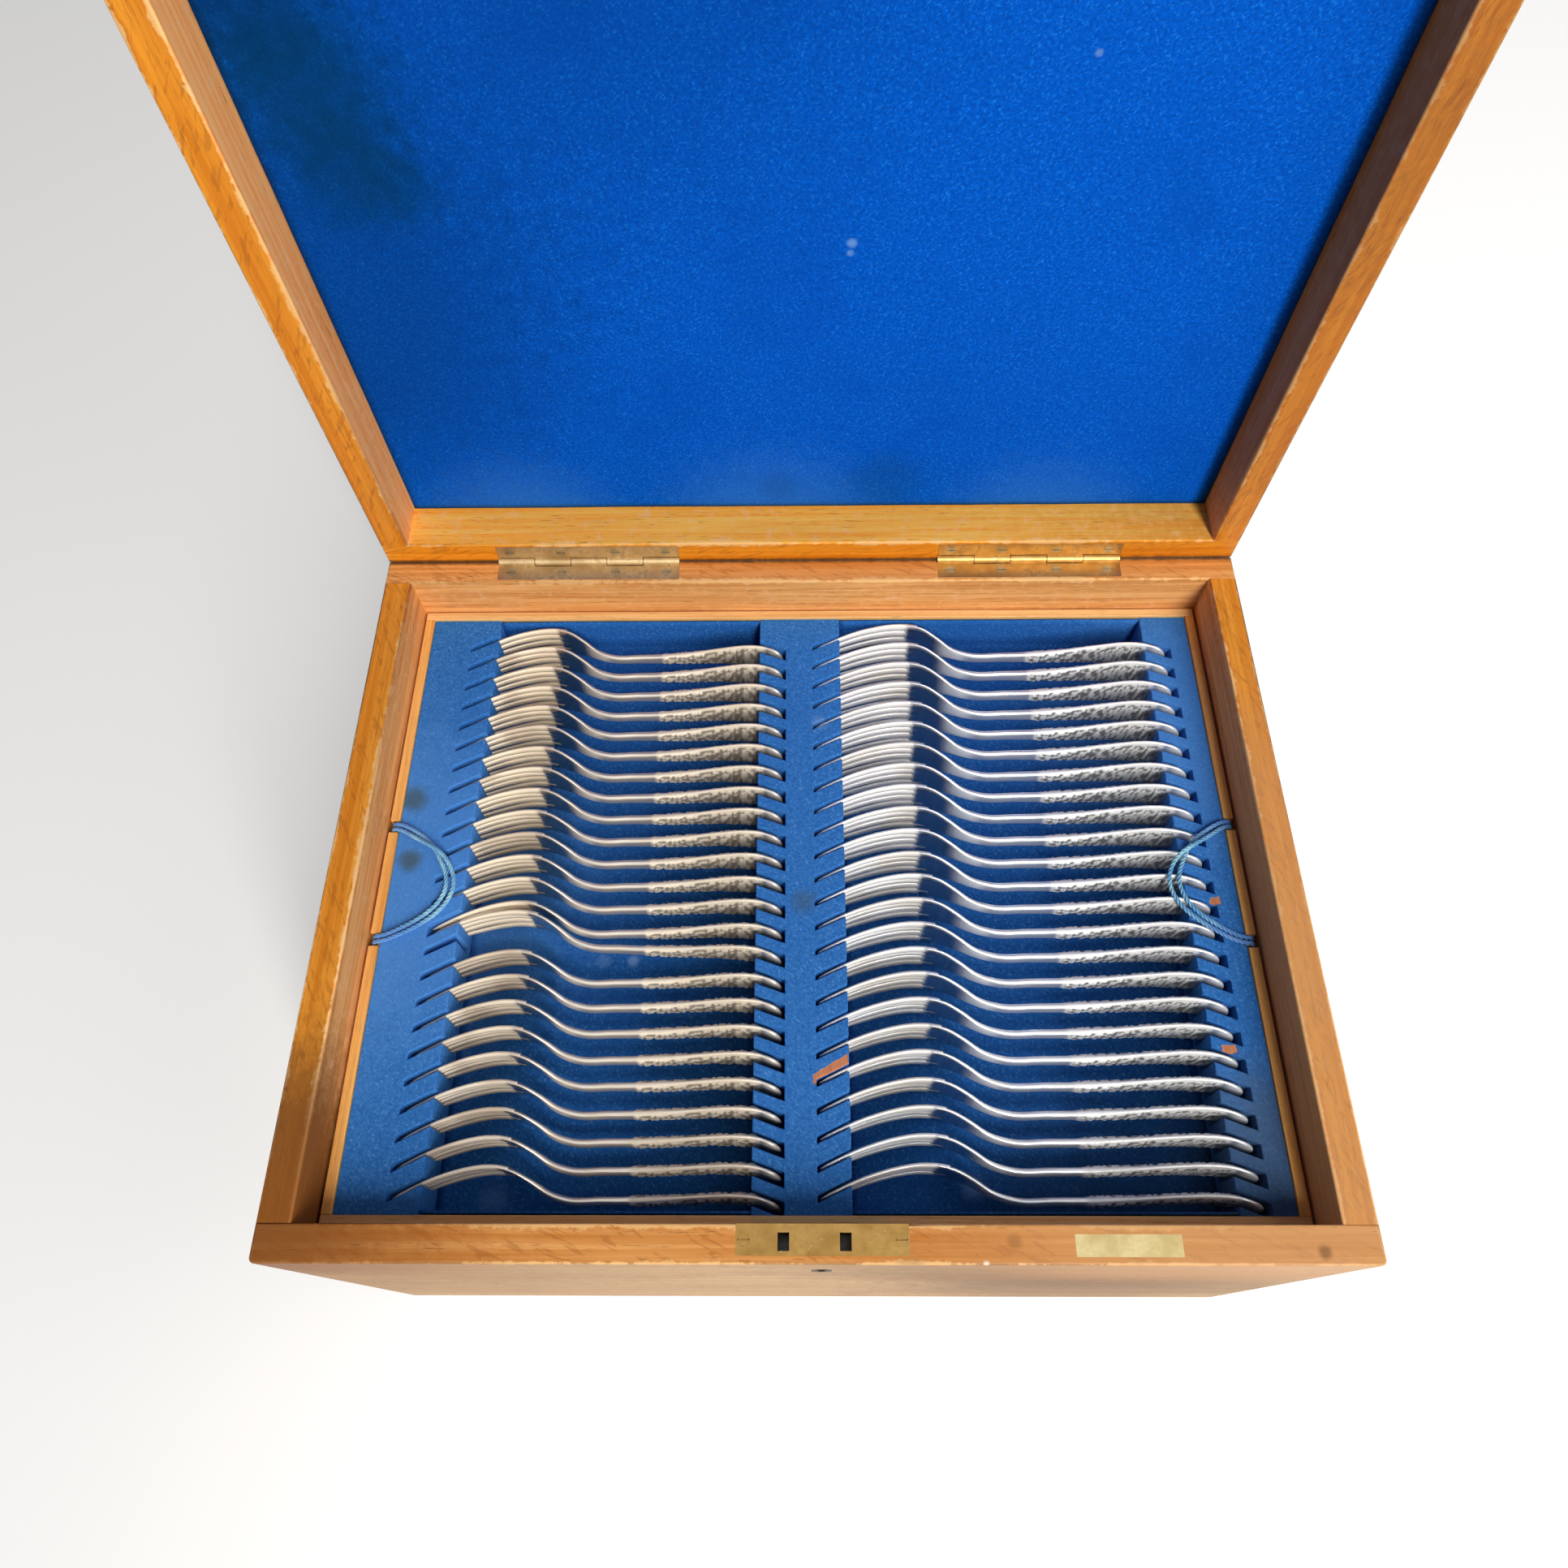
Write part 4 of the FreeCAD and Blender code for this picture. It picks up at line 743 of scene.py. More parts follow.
def tray_baize():
    olive = srgb(72, 92, 92)
    chalk = srgb(120, 160, 214)
    dirt = srgb(80, 90, 94)
    faded = srgb(92, 154, 230)
    marks = (
        # Painted light: paler patches on the left and right racks
        ((-0.2150, 0.0000, RACK_TOP), 0.1300, faded, 0.50),
        ((0.2100, 0.0900, RACK_TOP), 0.1100, faded, 0.40),
        ((0.2120, -0.1350, RACK_TOP), 0.0600, dirt, 0.60),
        # Painted shade on the right bay's floor near the front wall
        ((0.1300, -0.1660, BAY_FLOOR), 0.0900, srgb(34, 52, 76), 0.50),
        ((-0.2105, 0.0465, RACK_TOP), 0.0110, olive, 0.75),
        ((-0.2072, 0.0112, RACK_TOP), 0.0085, olive, 0.80),
        ((-0.0035, -0.0117, RACK_TOP), 0.0090, olive, 0.45),
        ((0.0059, 0.0929, RACK_TOP), 0.0060, chalk, 0.40),
        ((-0.0919, -0.0350, BAY_FLOOR), 0.0045, chalk, 0.70),
        ((-0.1066, -0.0350, BAY_FLOOR), 0.0060, chalk, 0.30),
        ((-0.1496, -0.1518, BAY_FLOOR), 0.0100, chalk, 0.25),
        ((0.075, -0.146, BAY_FLOOR), 0.0080, chalk, 0.45),
    )
    bare = (
        ((0.0090, -0.0966), (0.0085, 0.0026), 0.62),
        ((0.1978, -0.0873), (0.0036, 0.0022), 0.10),
        ((0.2037, -0.0122), (0.0026, 0.0020), 0.10),
    )
    rack_tones = (srgb(40, 100, 172), srgb(60, 126, 200), srgb(96, 158, 222))
    # The bays' cloth: the racks' cloth painted darker, as shade down in the bays
    shaded_bay_tones = (srgb(26, 82, 156), srgb(42, 106, 182), srgb(84, 146, 212))
    rack_cloth = baize("rack_baize", rack_tones, marks, bare, 0.10)
    shaded_bay_cloth = baize("bay_baize", shaded_bay_tones, marks, (), 0.10)
    return rack_cloth, shaded_bay_cloth


def racks(material):
    """Racks with their cloth turned softly over every edge."""
    for node in ("left_rack", "centre_rack", "right_rack"):
        work = merged(node)
        rounded(work, sharp_edges(work, RACK_FOLD), CLOTH_EDGE, CLOTH_EDGE_STEPS)
        mesh = mesh_of(work, node, material)
        dressed(node + "_covered", mesh, "tray", "baize", node)


def strip_steps(low, high):
    """Even steps of about the cloth's mesh size from low to high."""
    count = max(2, round((high - low) / CLOTH_STEP))
    return np.linspace(low, high, count + 1)


def cloth(name, rows, thickness, material):
    """Sheet through rows of points, with a hidden back at its thickness."""
    work = bmesh.new()
    grid = [[work.verts.new(point) for point in row] for row in rows]
    for first, second in zip(grid, grid[1:]):
        for i in range(len(first) - 1):
            work.faces.new((first[i], first[i + 1], second[i + 1], second[i]))
    for face in work.faces:
        face.smooth = True
    mesh = bpy.data.meshes.new(name)
    work.to_mesh(mesh)
    work.free()
    mesh.materials.append(material)
    piece = link(bpy.data.objects.new(name, mesh))
    solid = piece.modifiers.new("thickness", "SOLIDIFY")
    solid.thickness = thickness
    solid.offset = -1
    graph = bpy.context.evaluated_depsgraph_get()
    finished = bpy.data.meshes.new_from_object(piece.evaluated_get(graph))
    bpy.data.objects.remove(piece)
    return finished


def wave(a, b):
    """Small slack of glued cloth at a place on it."""
    return CLOTH_WAVE * sum(math.sin(p * a + q * b) for p, q in WAVE_TURNS) / 2


def lid_lining(material):
    low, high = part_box("lid_lining")
    edge = 3 * CLOTH_EDGE
    rows = []
    for z in strip_steps(low.z, high.z):
        row = []
        for x in strip_steps(low.x, high.x):
            margin = min(x - low.x, high.x - x, z - low.z, high.z - z)
            tuck = CLOTH_EDGE * max(0.0, 1 - margin / edge) ** 2
            row.append((x, low.y + tuck + abs(wave(x, z)), z))
        rows.append(row)
    mesh = cloth("lid_lining_cloth", rows, CLOTH_THICKNESS, material)
    piece = dressed("lid_lining_cloth", mesh, "lid", "lid_baize", "lid_lining")


def bay_path(low, high):
    """Side view of a bay's cloth: down the back, over the floor and up the front, with soft corners."""
    lift = CLOTH_THICKNESS
    back, front, floor = high.y - lift, low.y + lift, low.z + lift
    path = [(back, z) for z in strip_steps(floor + BAY_CORNER, high.z)[::-1]]
    turns = [math.radians(t) for t in BAY_CORNER_TURNS]
    bends = [(BAY_CORNER * (1 - math.cos(t)), BAY_CORNER * (1 - math.sin(t))) for t in turns]
    path += [(back - inward, floor + upward) for inward, upward in bends]
    path += [(y, floor) for y in strip_steps(front + BAY_CORNER, back - BAY_CORNER)[::-1]]
    path += [(front + upward, floor + inward) for inward, upward in bends]
    path += [(front, z) for z in strip_steps(floor + BAY_CORNER, high.z)]
    return path


def bay_linings(material):
    for node in ("left_bay_lining", "right_bay_lining"):
        low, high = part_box(node)
        path = bay_path(low, high)
        rows = []
        for y, z in path:
            rows.append([(x, y, z + abs(wave(x, y))) for x in strip_steps(low.x, high.x)])
        mesh = cloth(node + "_cloth", rows, CLOTH_THICKNESS - TOUCH, material)
        piece = dressed(node + "_cloth", mesh, "tray", "baize", node)


# Geometry Nodes

class Rule(Graph):
    """A Geometry Nodes tree with named inputs."""

    def __init__(self, name):
        super().__init__(bpy.data.node_groups.new(name, "GeometryNodeTree"))
        self.face = self.tree.interface
        self.face.new_socket("Geometry", in_out="OUTPUT", socket_type="NodeSocketGeometry")
        self.names = {}
        self.source = self.tree.nodes.new("NodeGroupInput")

    def size(self, name, kind):
        socket = self.face.new_socket(name, in_out="INPUT", socket_type="NodeSocket" + kind)
        self.names[name] = socket.identifier
        return Value(self, self.source.outputs[name])

    def ends(self, geometry, material):
        """Closing nodes: plain geometry with its material."""
        plain = self.node("GeometryNodeRealizeInstances", {}, {"Geometry": geometry})
        painted = self.node("GeometryNodeSetMaterial", {}, {"Geometry": plain, "Material": material})
        self.node("NodeGroupOutput", {}, {"Geometry": painted})

    def made(self, name, source, sizes):
        """Plain mesh that the tree makes on a source object, which is then removed."""
        modifier = source.modifiers.new(name, "NODES")
        modifier.node_group = self.tree
        for label, value in sizes.items():
            modifier[self.names[label]] = value
        graph = bpy.context.evaluated_depsgraph_get()
        mesh = bpy.data.meshes.new_from_object(source.evaluated_get(graph))
        mesh.name = name
        source.modifiers.remove(modifier)
        bpy.data.objects.remove(source)
        return mesh


# Cords

def cord_rule():
    """Plies twisted about a curve."""
    rule = Rule("twisted_cord")
    curve = rule.size("Curve", "Geometry")
    step = rule.size("Step", "Float")
    turn = rule.size("Turn per metre", "Float")
    plies = rule.size("Plies", "Int")
    ply = rule.size("Ply radius", "Float")
    ring = rule.size("Ring radius", "Float")
    sides = rule.size("Sides", "Int")
    silk = rule.size("Silk", "Material")
    even = rule.node("GeometryNodeResampleCurve", {"mode": "LENGTH"}, {"Curve": curve, "Length": step})
    along = rule.node("GeometryNodeSplineParameter", {}, {}, "Length")
    twisted = rule.node("GeometryNodeSetCurveTilt", {}, {"Curve": even, "Tilt": along * turn})
    strand = rule.node("GeometryNodeCurvePrimitiveCircle", {}, {"Resolution": sides, "Radius": ply})
    centres = rule.node("GeometryNodeMeshCircle", {}, {"Vertices": plies, "Radius": ring})
    bundle = rule.node("GeometryNodeInstanceOnPoints", {}, {"Points": centres, "Instance": strand})
    profile = rule.node("GeometryNodeRealizeInstances", {}, {"Geometry": bundle})
    tube = rule.node(
        "GeometryNodeCurveToMesh", {}, {"Curve": twisted, "Profile Curve": profile, "Fill Caps": True})
    soft = rule.node("GeometryNodeSetShadeSmooth", {}, {"Geometry": tube})
    rule.ends(soft, silk)
    return rule


def silk():
    """Faded twisted silk: pale cyan in places, deeper blue near the notches, with dirt and stray fibre."""
    finish = Finish("cord_silk")
    place = finish.place
    y = finish.split(place)[1]
    near_notch = finish.ramp(abs(y), *NOTCH_FADE)
    fade = finish.noise(place, 95.0, 3.0)
    thread = finish.noise(place, 2600.0, 3.0, 0.6)
    colour = finish.layered(
        srgb(84, 158, 206),
        (finish.ramp(fade, 0.32, 0.68), srgb(152, 210, 226)),
        (near_notch * 0.75, srgb(46, 112, 202)),
        (finish.ramp(thread, 0.50, 0.72) * 0.5, srgb(196, 228, 238)),
        (finish.ramp(fade, 0.66, 0.80) * 0.35, srgb(72, 112, 132)),
    )
    normal = finish.bump(thread, SILK_BUMP, 0.7)
    return finish.surface({
        "Base Color": colour, "Roughness": 0.62 + (thread - 0.5) * 0.2, "Normal": normal,
        "Sheen Weight": 0.35, "Sheen Roughness": 0.4,
    })


def cord_route(places, crosses):
    """Points of a cord: up out of the back notch, along the rack's top and down into the front notch."""
    heights = [CORD_REST_Z] * len(places)
    if crosses:
        heights[CROSSING_START:CROSSING_START + len(CROSSING_HEIGHTS)] = CROSSING_HEIGHTS
    run = [(*place, height) for place, height in zip(places, heights)]
    return [(*places[0], CORD_END_Z), *run, (*places[-1], CORD_END_Z)]


def cords():
    rule = cord_rule()
    thread = silk()
    for node, places, crosses, length in CORDS:
        route = cord_route(places, crosses)
        curve = bpy.data.curves.new(node, "CURVE")
        curve.dimensions = "3D"
        spline = curve.splines.new("NURBS")
        spline.points.add(len(route) - 1)
        for point, place in zip(spline.points, route):
            point.co = (*place, 1)
        spline.order_u = 3
        spline.use_endpoint_u = True
        spline.resolution_u = CORD_LINE_STEPS
        source = link(bpy.data.objects.new(node + "_line", curve))
        graph = bpy.context.evaluated_depsgraph_get()
        line = bpy.data.meshes.new_from_object(source.evaluated_get(graph))
        mesh = rule.made(node + "_silk", source, {
            "Step": PLY_STEP, "Turn per metre": 2 * math.pi / CORD_LAY, "Plies": CORD_PLIES,
            "Ply radius": PLY_RADIUS, "Ring radius": CORD_DIAMETER / 2 - PLY_RADIUS,
            "Sides": PLY_SIDES, "Silk": thread,
        })
        piece = dressed(node + "_silk", mesh, "tray", "cord", node)


# Forks

def through(stops, shares):
    """Smooth values at shares of a length, through given stops."""
    at = np.array([stop[0] for stop in stops])
    values = np.array([stop[1] for stop in stops])
    slopes = np.gradient(values, at)
    i = np.clip(np.searchsorted(at, shares) - 1, 0, len(at) - 2)
    gap = at[i + 1] - at[i]
    t = (shares - at[i]) / gap
    start = values[i] * (1 + 2 * t) * (1 - t) ** 2 + slopes[i] * gap * t * (1 - t) ** 2
    end = values[i + 1] * t ** 2 * (3 - 2 * t) + slopes[i + 1] * gap * t ** 2 * (t - 1)
    return start + end


def strayed(waves, column, row):
    """A bead's fixed scatter from the middle of its place in the grid."""
    swing, by_column, by_row = waves
    return BEAD_STRAY_SHARE * math.sin(swing * math.sin(by_column * column + by_row * row))


class Fork:
    """Mesh of one fork: tip at the origin, handle to +X, bowl arched to +Y, on edge."""

    def __init__(self, length, tine_span, handle_width, rise):
        self.length = length
        self.tine_span = tine_span
        self.handle_width = handle_width
        self.rise = rise
        self.points = []
        self.faces = []
        self.pits = []
        self.maps = []

    def spine(self, shares):
        """Centre line and its normals in the side view."""
        step = SPINE_STEP_SHARE
        rise = self.rise * through(PROFILE_SHARES, shares)
        slope = self.rise * (through(PROFILE_SHARES, np.clip(shares + step, 0, 1))
                             - through(PROFILE_SHARES, np.clip(shares - step, 0, 1)))
        run = self.length * (np.clip(shares + step, 0, 1) - np.clip(shares - step, 0, 1))
        size = np.hypot(run, slope)
        return shares * self.length, rise, -slope / size, run / size

    def half_width(self, shares):
        stops = [(s, w * self.tine_span / 2) for s, w in BOWL_SHARES]
        stops += [(s, w * self.handle_width / 2) for s, w in HANDLE_SHARES]
        last_share, last_width = stops[-1]
        stops.append((1.0, last_width))
        width = through(stops, shares)
        beyond = np.clip((shares - last_share) / (1 - last_share), 0, 1)
        return width * np.sqrt(np.clip(1 - beyond ** END_FULLNESS, 0, 1))

    def carving(self, share, across, half_width):
        """Height of the handle's beads and depth of the ground between them, 0 to 1."""
        start, end = RELIEF_SHARES
        a = (share - start) / (end - start)
        if not 0 < a < 1:
            return 0.0, 0.0
        fade = min(1.0, RELIEF_RISE * a, RELIEF_FALL * (1 - a))
        run, wide = share * self.length / BEAD_SPACING, across * half_width / BEAD_SPACING
        nearest = 1.0
        for column in range(math.floor(run) - 1, math.floor(run) + 2):
            for row in range(math.floor(wide) - 1, math.floor(wide) + 2):
                stray = strayed(STRAY_WAVES, column, row)
                slide = strayed(SLIDE_WAVES, column, row)
                away = math.hypot(run - column - 0.5 - stray, wide - row - 0.5 - slide)
                nearest = min(nearest, away)
        raised = max(0.0, 1 - (nearest / BEAD_REACH_SHARE) ** 2)
        outer, inner = BORDER_SHARES
        fade *= min(1.0, max(0.0, (outer - abs(across)) / (outer - inner)))
        return fade * raised, fade * (1 - raised)

    def ring(self, centre, normal, half_width, half_thickness, sides, share, dish, carved):
        """Closed section of superellipse shape across the fork."""
        first = len(self.points)
        power = SECTION_POWER + NECK_ROUNDING * math.exp(-((share - NECK_SHARE) / NECK_REACH_SHARE) ** 2)
        for k in range(sides):
            turn = 2 * math.pi * k / sides
            c, s = math.cos(turn), math.sin(turn)
            across = math.copysign(abs(c) ** power, c)
            height = math.copysign(abs(s) ** power, s)
            raised, pit = self.carving(share, across, half_width) if carved else (0.0, 0.0)
            out = height * half_thickness + math.copysign(raised * RELIEF_HEIGHT, height)
            out -= dish * across ** 2
            self.points.append((centre[0] + normal[0] * out, centre[1] + normal[1] * out,
                                centre[2] + half_width * across))
            self.pits.append(pit)
            self.maps.append((share, 0.5 + 0.5 * across))
        return list(range(first, first + sides))

    def skin(self, rings):
        """Faces between rings, and a cap at each end."""
        for one, two in zip(rings, rings[1:]):
            for k in range(len(one)):
                after = (k + 1) % len(one)
                self.faces.append((one[k], one[after], two[after], two[k]))
        self.faces.append(tuple(rings[0][::-1]))
        self.faces.append(tuple(rings[-1]))

    def body_shares(self):
        """Stations from the bowl to the handle's end, closer together under the relief and at both ends."""
        start, end = RELIEF_SHARES
        return np.concatenate([
            BOWL_START_SHARE + NOSE_SHARE * np.array(NOSE_STEP_SHARES),
            np.linspace(NECK_START_SHARE, start, NECK_RINGS)[:-1],
            np.linspace(start, end, RELIEF_RINGS)[:-1],
            np.linspace(end, END_START_SHARE, TONGUE_RINGS)[:-1],
            END_START_SHARE + END_SHARE * np.sin(np.linspace(0, math.pi / 2, END_RINGS)),
        ])

    def add_body(self):
        shares = self.body_shares()
        x, y, nx, ny = self.spine(shares)
        width = self.half_width(shares)
        thick = through(THICKNESS_STOPS, shares) / 2
        nose = np.sqrt(np.clip((shares - BOWL_START_SHARE) / NOSE_SHARE, 0, 1))
        end = np.sqrt(np.clip((END_TAPER_STOP_SHARE - shares) / END_TAPER_SHARE, END_LEAST_SHARE, 1))
        width = width * (NOSE_WIDTH_SHARE + (1 - NOSE_WIDTH_SHARE) * nose)
        thick = thick * (NOSE_THICKNESS_SHARE + (1 - NOSE_THICKNESS_SHARE) * nose) * end
        dish = BOWL_DISH * np.clip((DISH_SHARES[1] - shares) / (DISH_SHARES[1] - DISH_SHARES[0]), 0, 1)
        lifted = np.clip((shares - LIFT_SHARES[0]) / (LIFT_SHARES[1] - LIFT_SHARES[0]), 0, 1)
        lift = HANDLE_LIFT * lifted ** 2 * (3 - 2 * lifted)
        rings = []
        for i, share in enumerate(shares):
            centre = (x[i], y[i], lift[i])
            normal = (nx[i], ny[i])
            rings.append(self.ring(centre, normal, width[i], thick[i], BODY_SIDES, share, dish[i], True))
        self.skin(rings)

    def add_tine(self, index):
        width = TINE_WIDTH_SHARE * self.tine_span
        gap = (self.tine_span - TINES * width) / (TINES - 1)
        place = -self.tine_span / 2 + width / 2 + index * (width + gap)
        shares = TINE_ROOT_SHARE * np.sin(np.linspace(0, math.pi / 2, TINE_RINGS)) ** TINE_RING_POWER
        x, y, nx, ny = self.spine(shares)
        taper = np.clip(shares / TINE_ROOT_SHARE, 0, 1)
        point = np.sqrt(np.clip(shares / POINT_SHARE, POINT_LEAST_SHARE, 1))
        half = width / 2 * (TINE_POINT_SHARE + (1 - TINE_POINT_SHARE) * taper ** TINE_TAPER_POWER) * point
        thick = (TINE_POINT_THICKNESS + (TINE_THICKNESS - TINE_POINT_THICKNESS) * taper) / 2 * point
        lean = BOWL_DISH * (2 * place / self.tine_span) ** 2
        rings = []
        for i, share in enumerate(shares):
            spread = min(1.0, share / TIP_REACH_SHARE)
            sunk = lean * spread
            drawn_in = TIP_SPAN_SHARE + (1 - TIP_SPAN_SHARE) * spread
            centre = (x[i] - nx[i] * sunk, y[i] - ny[i] * sunk, place * drawn_in)
            rings.append(self.ring(centre, (nx[i], ny[i]), half[i], thick[i], TINE_SIDES, share, 0.0, False))
        self.skin(rings)

    def mesh(self, name):
        self.add_body()
        for index in range(TINES):
            self.add_tine(index)
        mesh = bpy.data.meshes.new(name)
        mesh.from_pydata(self.points, [], self.faces)
        pits = mesh.attributes.new("pits", "FLOAT", "POINT")
        pits.data.foreach_set("value", np.array(self.pits, np.float32))
        layer = mesh.uv_layers.new(name="fork_map")
        for loop in mesh.loops:
            layer.data[loop.index].uv = self.maps[loop.vertex_index]
        work = bmesh.new()
        work.from_mesh(mesh)
        bmesh.ops.recalc_face_normals(work, faces=work.faces)
        for face in work.faces:
            face.smooth = True
        work.to_mesh(mesh)
        work.free()
        return mesh


def fork_rule():
    """Row of forks at one pitch, with a little stray, and one that leans about its handle's end."""
    rule = Rule("fork_row")
    fork = rule.size("Fork", "Object")
    count = rule.size("Count", "Int")
    start = rule.size("Start", "Vector")
    step = rule.size("Step", "Vector")
    stray = rule.size("Stray", "Vector")
    back_stray = rule.size("Back stray", "Vector")
    seed = rule.size("Seed", "Int")
    leaning = rule.size("Leaning", "Int")
    lean = rule.size("Lean", "Vector")
    pivot = rule.size("Pivot", "Vector")
    metal = rule.size("Metal", "Material")
    line = rule.node("GeometryNodeMeshLine", {"mode": "OFFSET"}, {
        "Count": count, "Start Location": start, "Offset": step})
    shape = rule.node("GeometryNodeObjectInfo", {}, {"Object": fork, "As Instance": True}, "Geometry")
    row = rule.node("GeometryNodeInstanceOnPoints", {}, {"Points": line, "Instance": shape})
    offset = rule.node("FunctionNodeRandomValue", {"data_type": "FLOAT_VECTOR"}, {
        0: back_stray, 1: stray, "Seed": seed})
    loose = rule.node("GeometryNodeTranslateInstances", {}, {"Instances": row, "Translation": offset})
    index = rule.node("GeometryNodeInputIndex")
    same = {"data_type": "INT", "operation": "EQUAL"}
    chosen = rule.node("FunctionNodeCompare", same, {2: index, 3: leaning})
    turn = rule.node("FunctionNodeEulerToRotation", {}, {"Euler": lean})
    tilted = rule.node("GeometryNodeRotateInstances", {}, {
        "Instances": loose, "Selection": chosen, "Rotation": turn, "Pivot Point": pivot,
        "Local Space": False})
    rule.ends(tilted, metal)
    return rule


def silver(name, glow, patina, ground, reflection_and_wear_tone, stained):
    """Silver plate: painted reflection on the tines, painted sheen, raised work worn bright with a painted
    highlight, patina in the hollows, fine scratches.
    """
    finish = Finish(name)
    place = finish.place
    pits = finish.node("ShaderNodeAttribute", {"attribute_name": "pits"}, {}, "Fac")
    share, across = finish.split(finish.node("ShaderNodeUVMap", {"uv_map": "fork_map"}))[:2]
    tined = finish.ramp(share, *TINED_SHARES)
    below_edge = finish.ramp(across, *EDGE_SHARES)
    bowl = finish.ramp(share, *BOWL_START_SHARES) * finish.ramp(share, *BOWL_END_SHARES) * below_edge
    shoulder = finish.ramp(share, *SHOULDER_START_SHARES) * finish.ramp(share, *SHOULDER_END_SHARES)
    dull = (shoulder * below_edge).larger(finish.ramp(share, *TONGUE_SHARES))
    start, end = RELIEF_SHARES
    carved = finish.ramp(share, start, start + RELIEF_FADE_SHARE)
    carved = carved * finish.ramp(share, end, end - RELIEF_FADE_SHARE)
    tarnish = finish.ramp(finish.noise(finish.stretched(place, (16, 64, 16)), 1.0, 2.0), 0.46, 0.62)
    cloud = finish.noise(place, 70.0, 4.0, 0.6)
    scratch = finish.noise(finish.stretched(place, (120, 1700, 1700)), 1.0, 3.0, 0.6)
    grit = finish.noise(place, 1500.0, 3.0, 0.6)
    beads = finish.cells(place, 720.0)
    hollow = carved * finish.ramp(pits + (grit - 0.5) * 0.6 + (beads - 0.4) * 0.5, 0.25, 0.85)
    near = finish.ramp(finish.split(place)[1], *NEAR_ROWS_Y)
    colour = finish.layered(
        glow,
        (finish.ramp(cloud, 0.35, 0.75) * 0.45, patina),
        # Painted reflection on the tines, warm on the dessert forks, less of it on the rows at the front
        (tined * (0.95 - near * 0.65), reflection_and_wear_tone),
        (tined * tarnish * 0.45, stained),
        # Painted sheen: shoulder and tongue go back to the bright base tone
        (dull * 0.60, glow),
        # Raised beads: worn bright, with a painted highlight
        (carved * (1 - hollow) * 0.45, reflection_and_wear_tone),
        (hollow * 0.78, ground),
        (bowl * 0.40, srgb(206, 208, 212)),
    )
    clouded = finish.ramp(cloud, 0.45, 0.75) * 0.12 * (1 - bowl)
    metal = 0.76 + bowl * 0.22 - tined * 0.56 - carved * 0.46 - dull * 0.46 - clouded
    rough = 0.22 - bowl * 0.16 + cloud * 0.10 + scratch * 0.10 + carved * 0.12 + hollow * 0.15
    height = scratch * 0.15 + grit * 0.05 + carved * (0.9 - beads) * 0.9
    normal = finish.bump(height, PLATE_BUMP, 0.55)
    return finish.surface({"Base Color": colour, "Metallic": metal, "Roughness": rough, "Normal": normal})


def forks():
    rule = fork_rule()
    warm = silver(
        "dessert_silver", glow=srgb(220, 212, 200), patina=srgb(202, 182, 156), ground=srgb(122, 110, 92),
        reflection_and_wear_tone=srgb(250, 234, 206), stained=srgb(156, 132, 112),
    )
    cool = silver(
        "table_silver", glow=srgb(222, 226, 230), patina=srgb(202, 198, 190), ground=srgb(58, 54, 50),
        reflection_and_wear_tone=srgb(252, 250, 246), stained=srgb(214, 202, 182),
    )
    deep = (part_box("tray_back")[0].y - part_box("tray_front")[1].y) / 2
    for node, sizes, metal, leaning in (
        ("dessert_forks", DESSERT_SIZES, warm, LEANING_FORK),
        ("table_forks", TABLE_SIZES, cool, -1),
    ):
        low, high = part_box(node)
        fork = link(bpy.data.objects.new(node + "_pattern", Fork(**sizes).mesh(node + "_pattern")))
        start = Vector((high.x - sizes["length"], deep - BACK_MARGIN, (low.z + high.z) / 2))
        lean = math.atan2(FORK_PITCH - LEAN_GAP, sizes["length"])
        pivot = start + Vector((sizes["length"], -leaning * FORK_PITCH, 0))
        source = link(bpy.data.objects.new(node + "_row", bpy.data.meshes.new(node + "_row")))
        mesh = rule.made(node + "_plate", source, {
            "Fork": fork, "Count": FORKS_PER_BAY, "Start": start, "Step": (0, -FORK_PITCH, 0),
            "Stray": (0, FORK_STRAY, 0), "Back stray": (0, -FORK_STRAY, 0), "Seed": FORK_SEED,
            "Leaning": leaning, "Lean": (0, 0, -lean), "Pivot": pivot, "Metal": metal,
        })
        bpy.data.objects.remove(fork)
        dressed(node + "_plate", mesh, "tray", "silver", node)


# Brass and steel

def brass(name, tones, tarnish, shine):
    """Old brass: rubbed and dull places, brown tarnish, fine scratches."""
    finish = Finish(name)
    place = finish.place
    cloud = finish.noise(place, 85.0, 4.0, 0.6)
    spots = finish.noise(place, 420.0, 4.0, 0.65)
    scratch = finish.noise(finish.stretched(place, (60, 1900, 700)), 1.0, 3.0, 0.6)
    dull = finish.ramp(cloud * 0.6 + spots * 0.4, 0.50, 0.66) * tarnish
    colour = finish.layered(
        finish.mixed(finish.ramp(cloud, 0.32, 0.70), *tones),
        (dull, srgb(88, 66, 40)),
        (finish.ramp(spots, 0.64, 0.74) * 0.35, srgb(226, 206, 164)),
    )
    rough = shine + dull * 0.28 + (scratch - 0.5) * 0.16
    normal = finish.bump(scratch * 0.5 + spots * 0.5, BRASS_BUMP, 0.5)
    return finish.surface({"Base Color": colour, "Metallic": 0.92, "Roughness": rough, "Normal": normal})


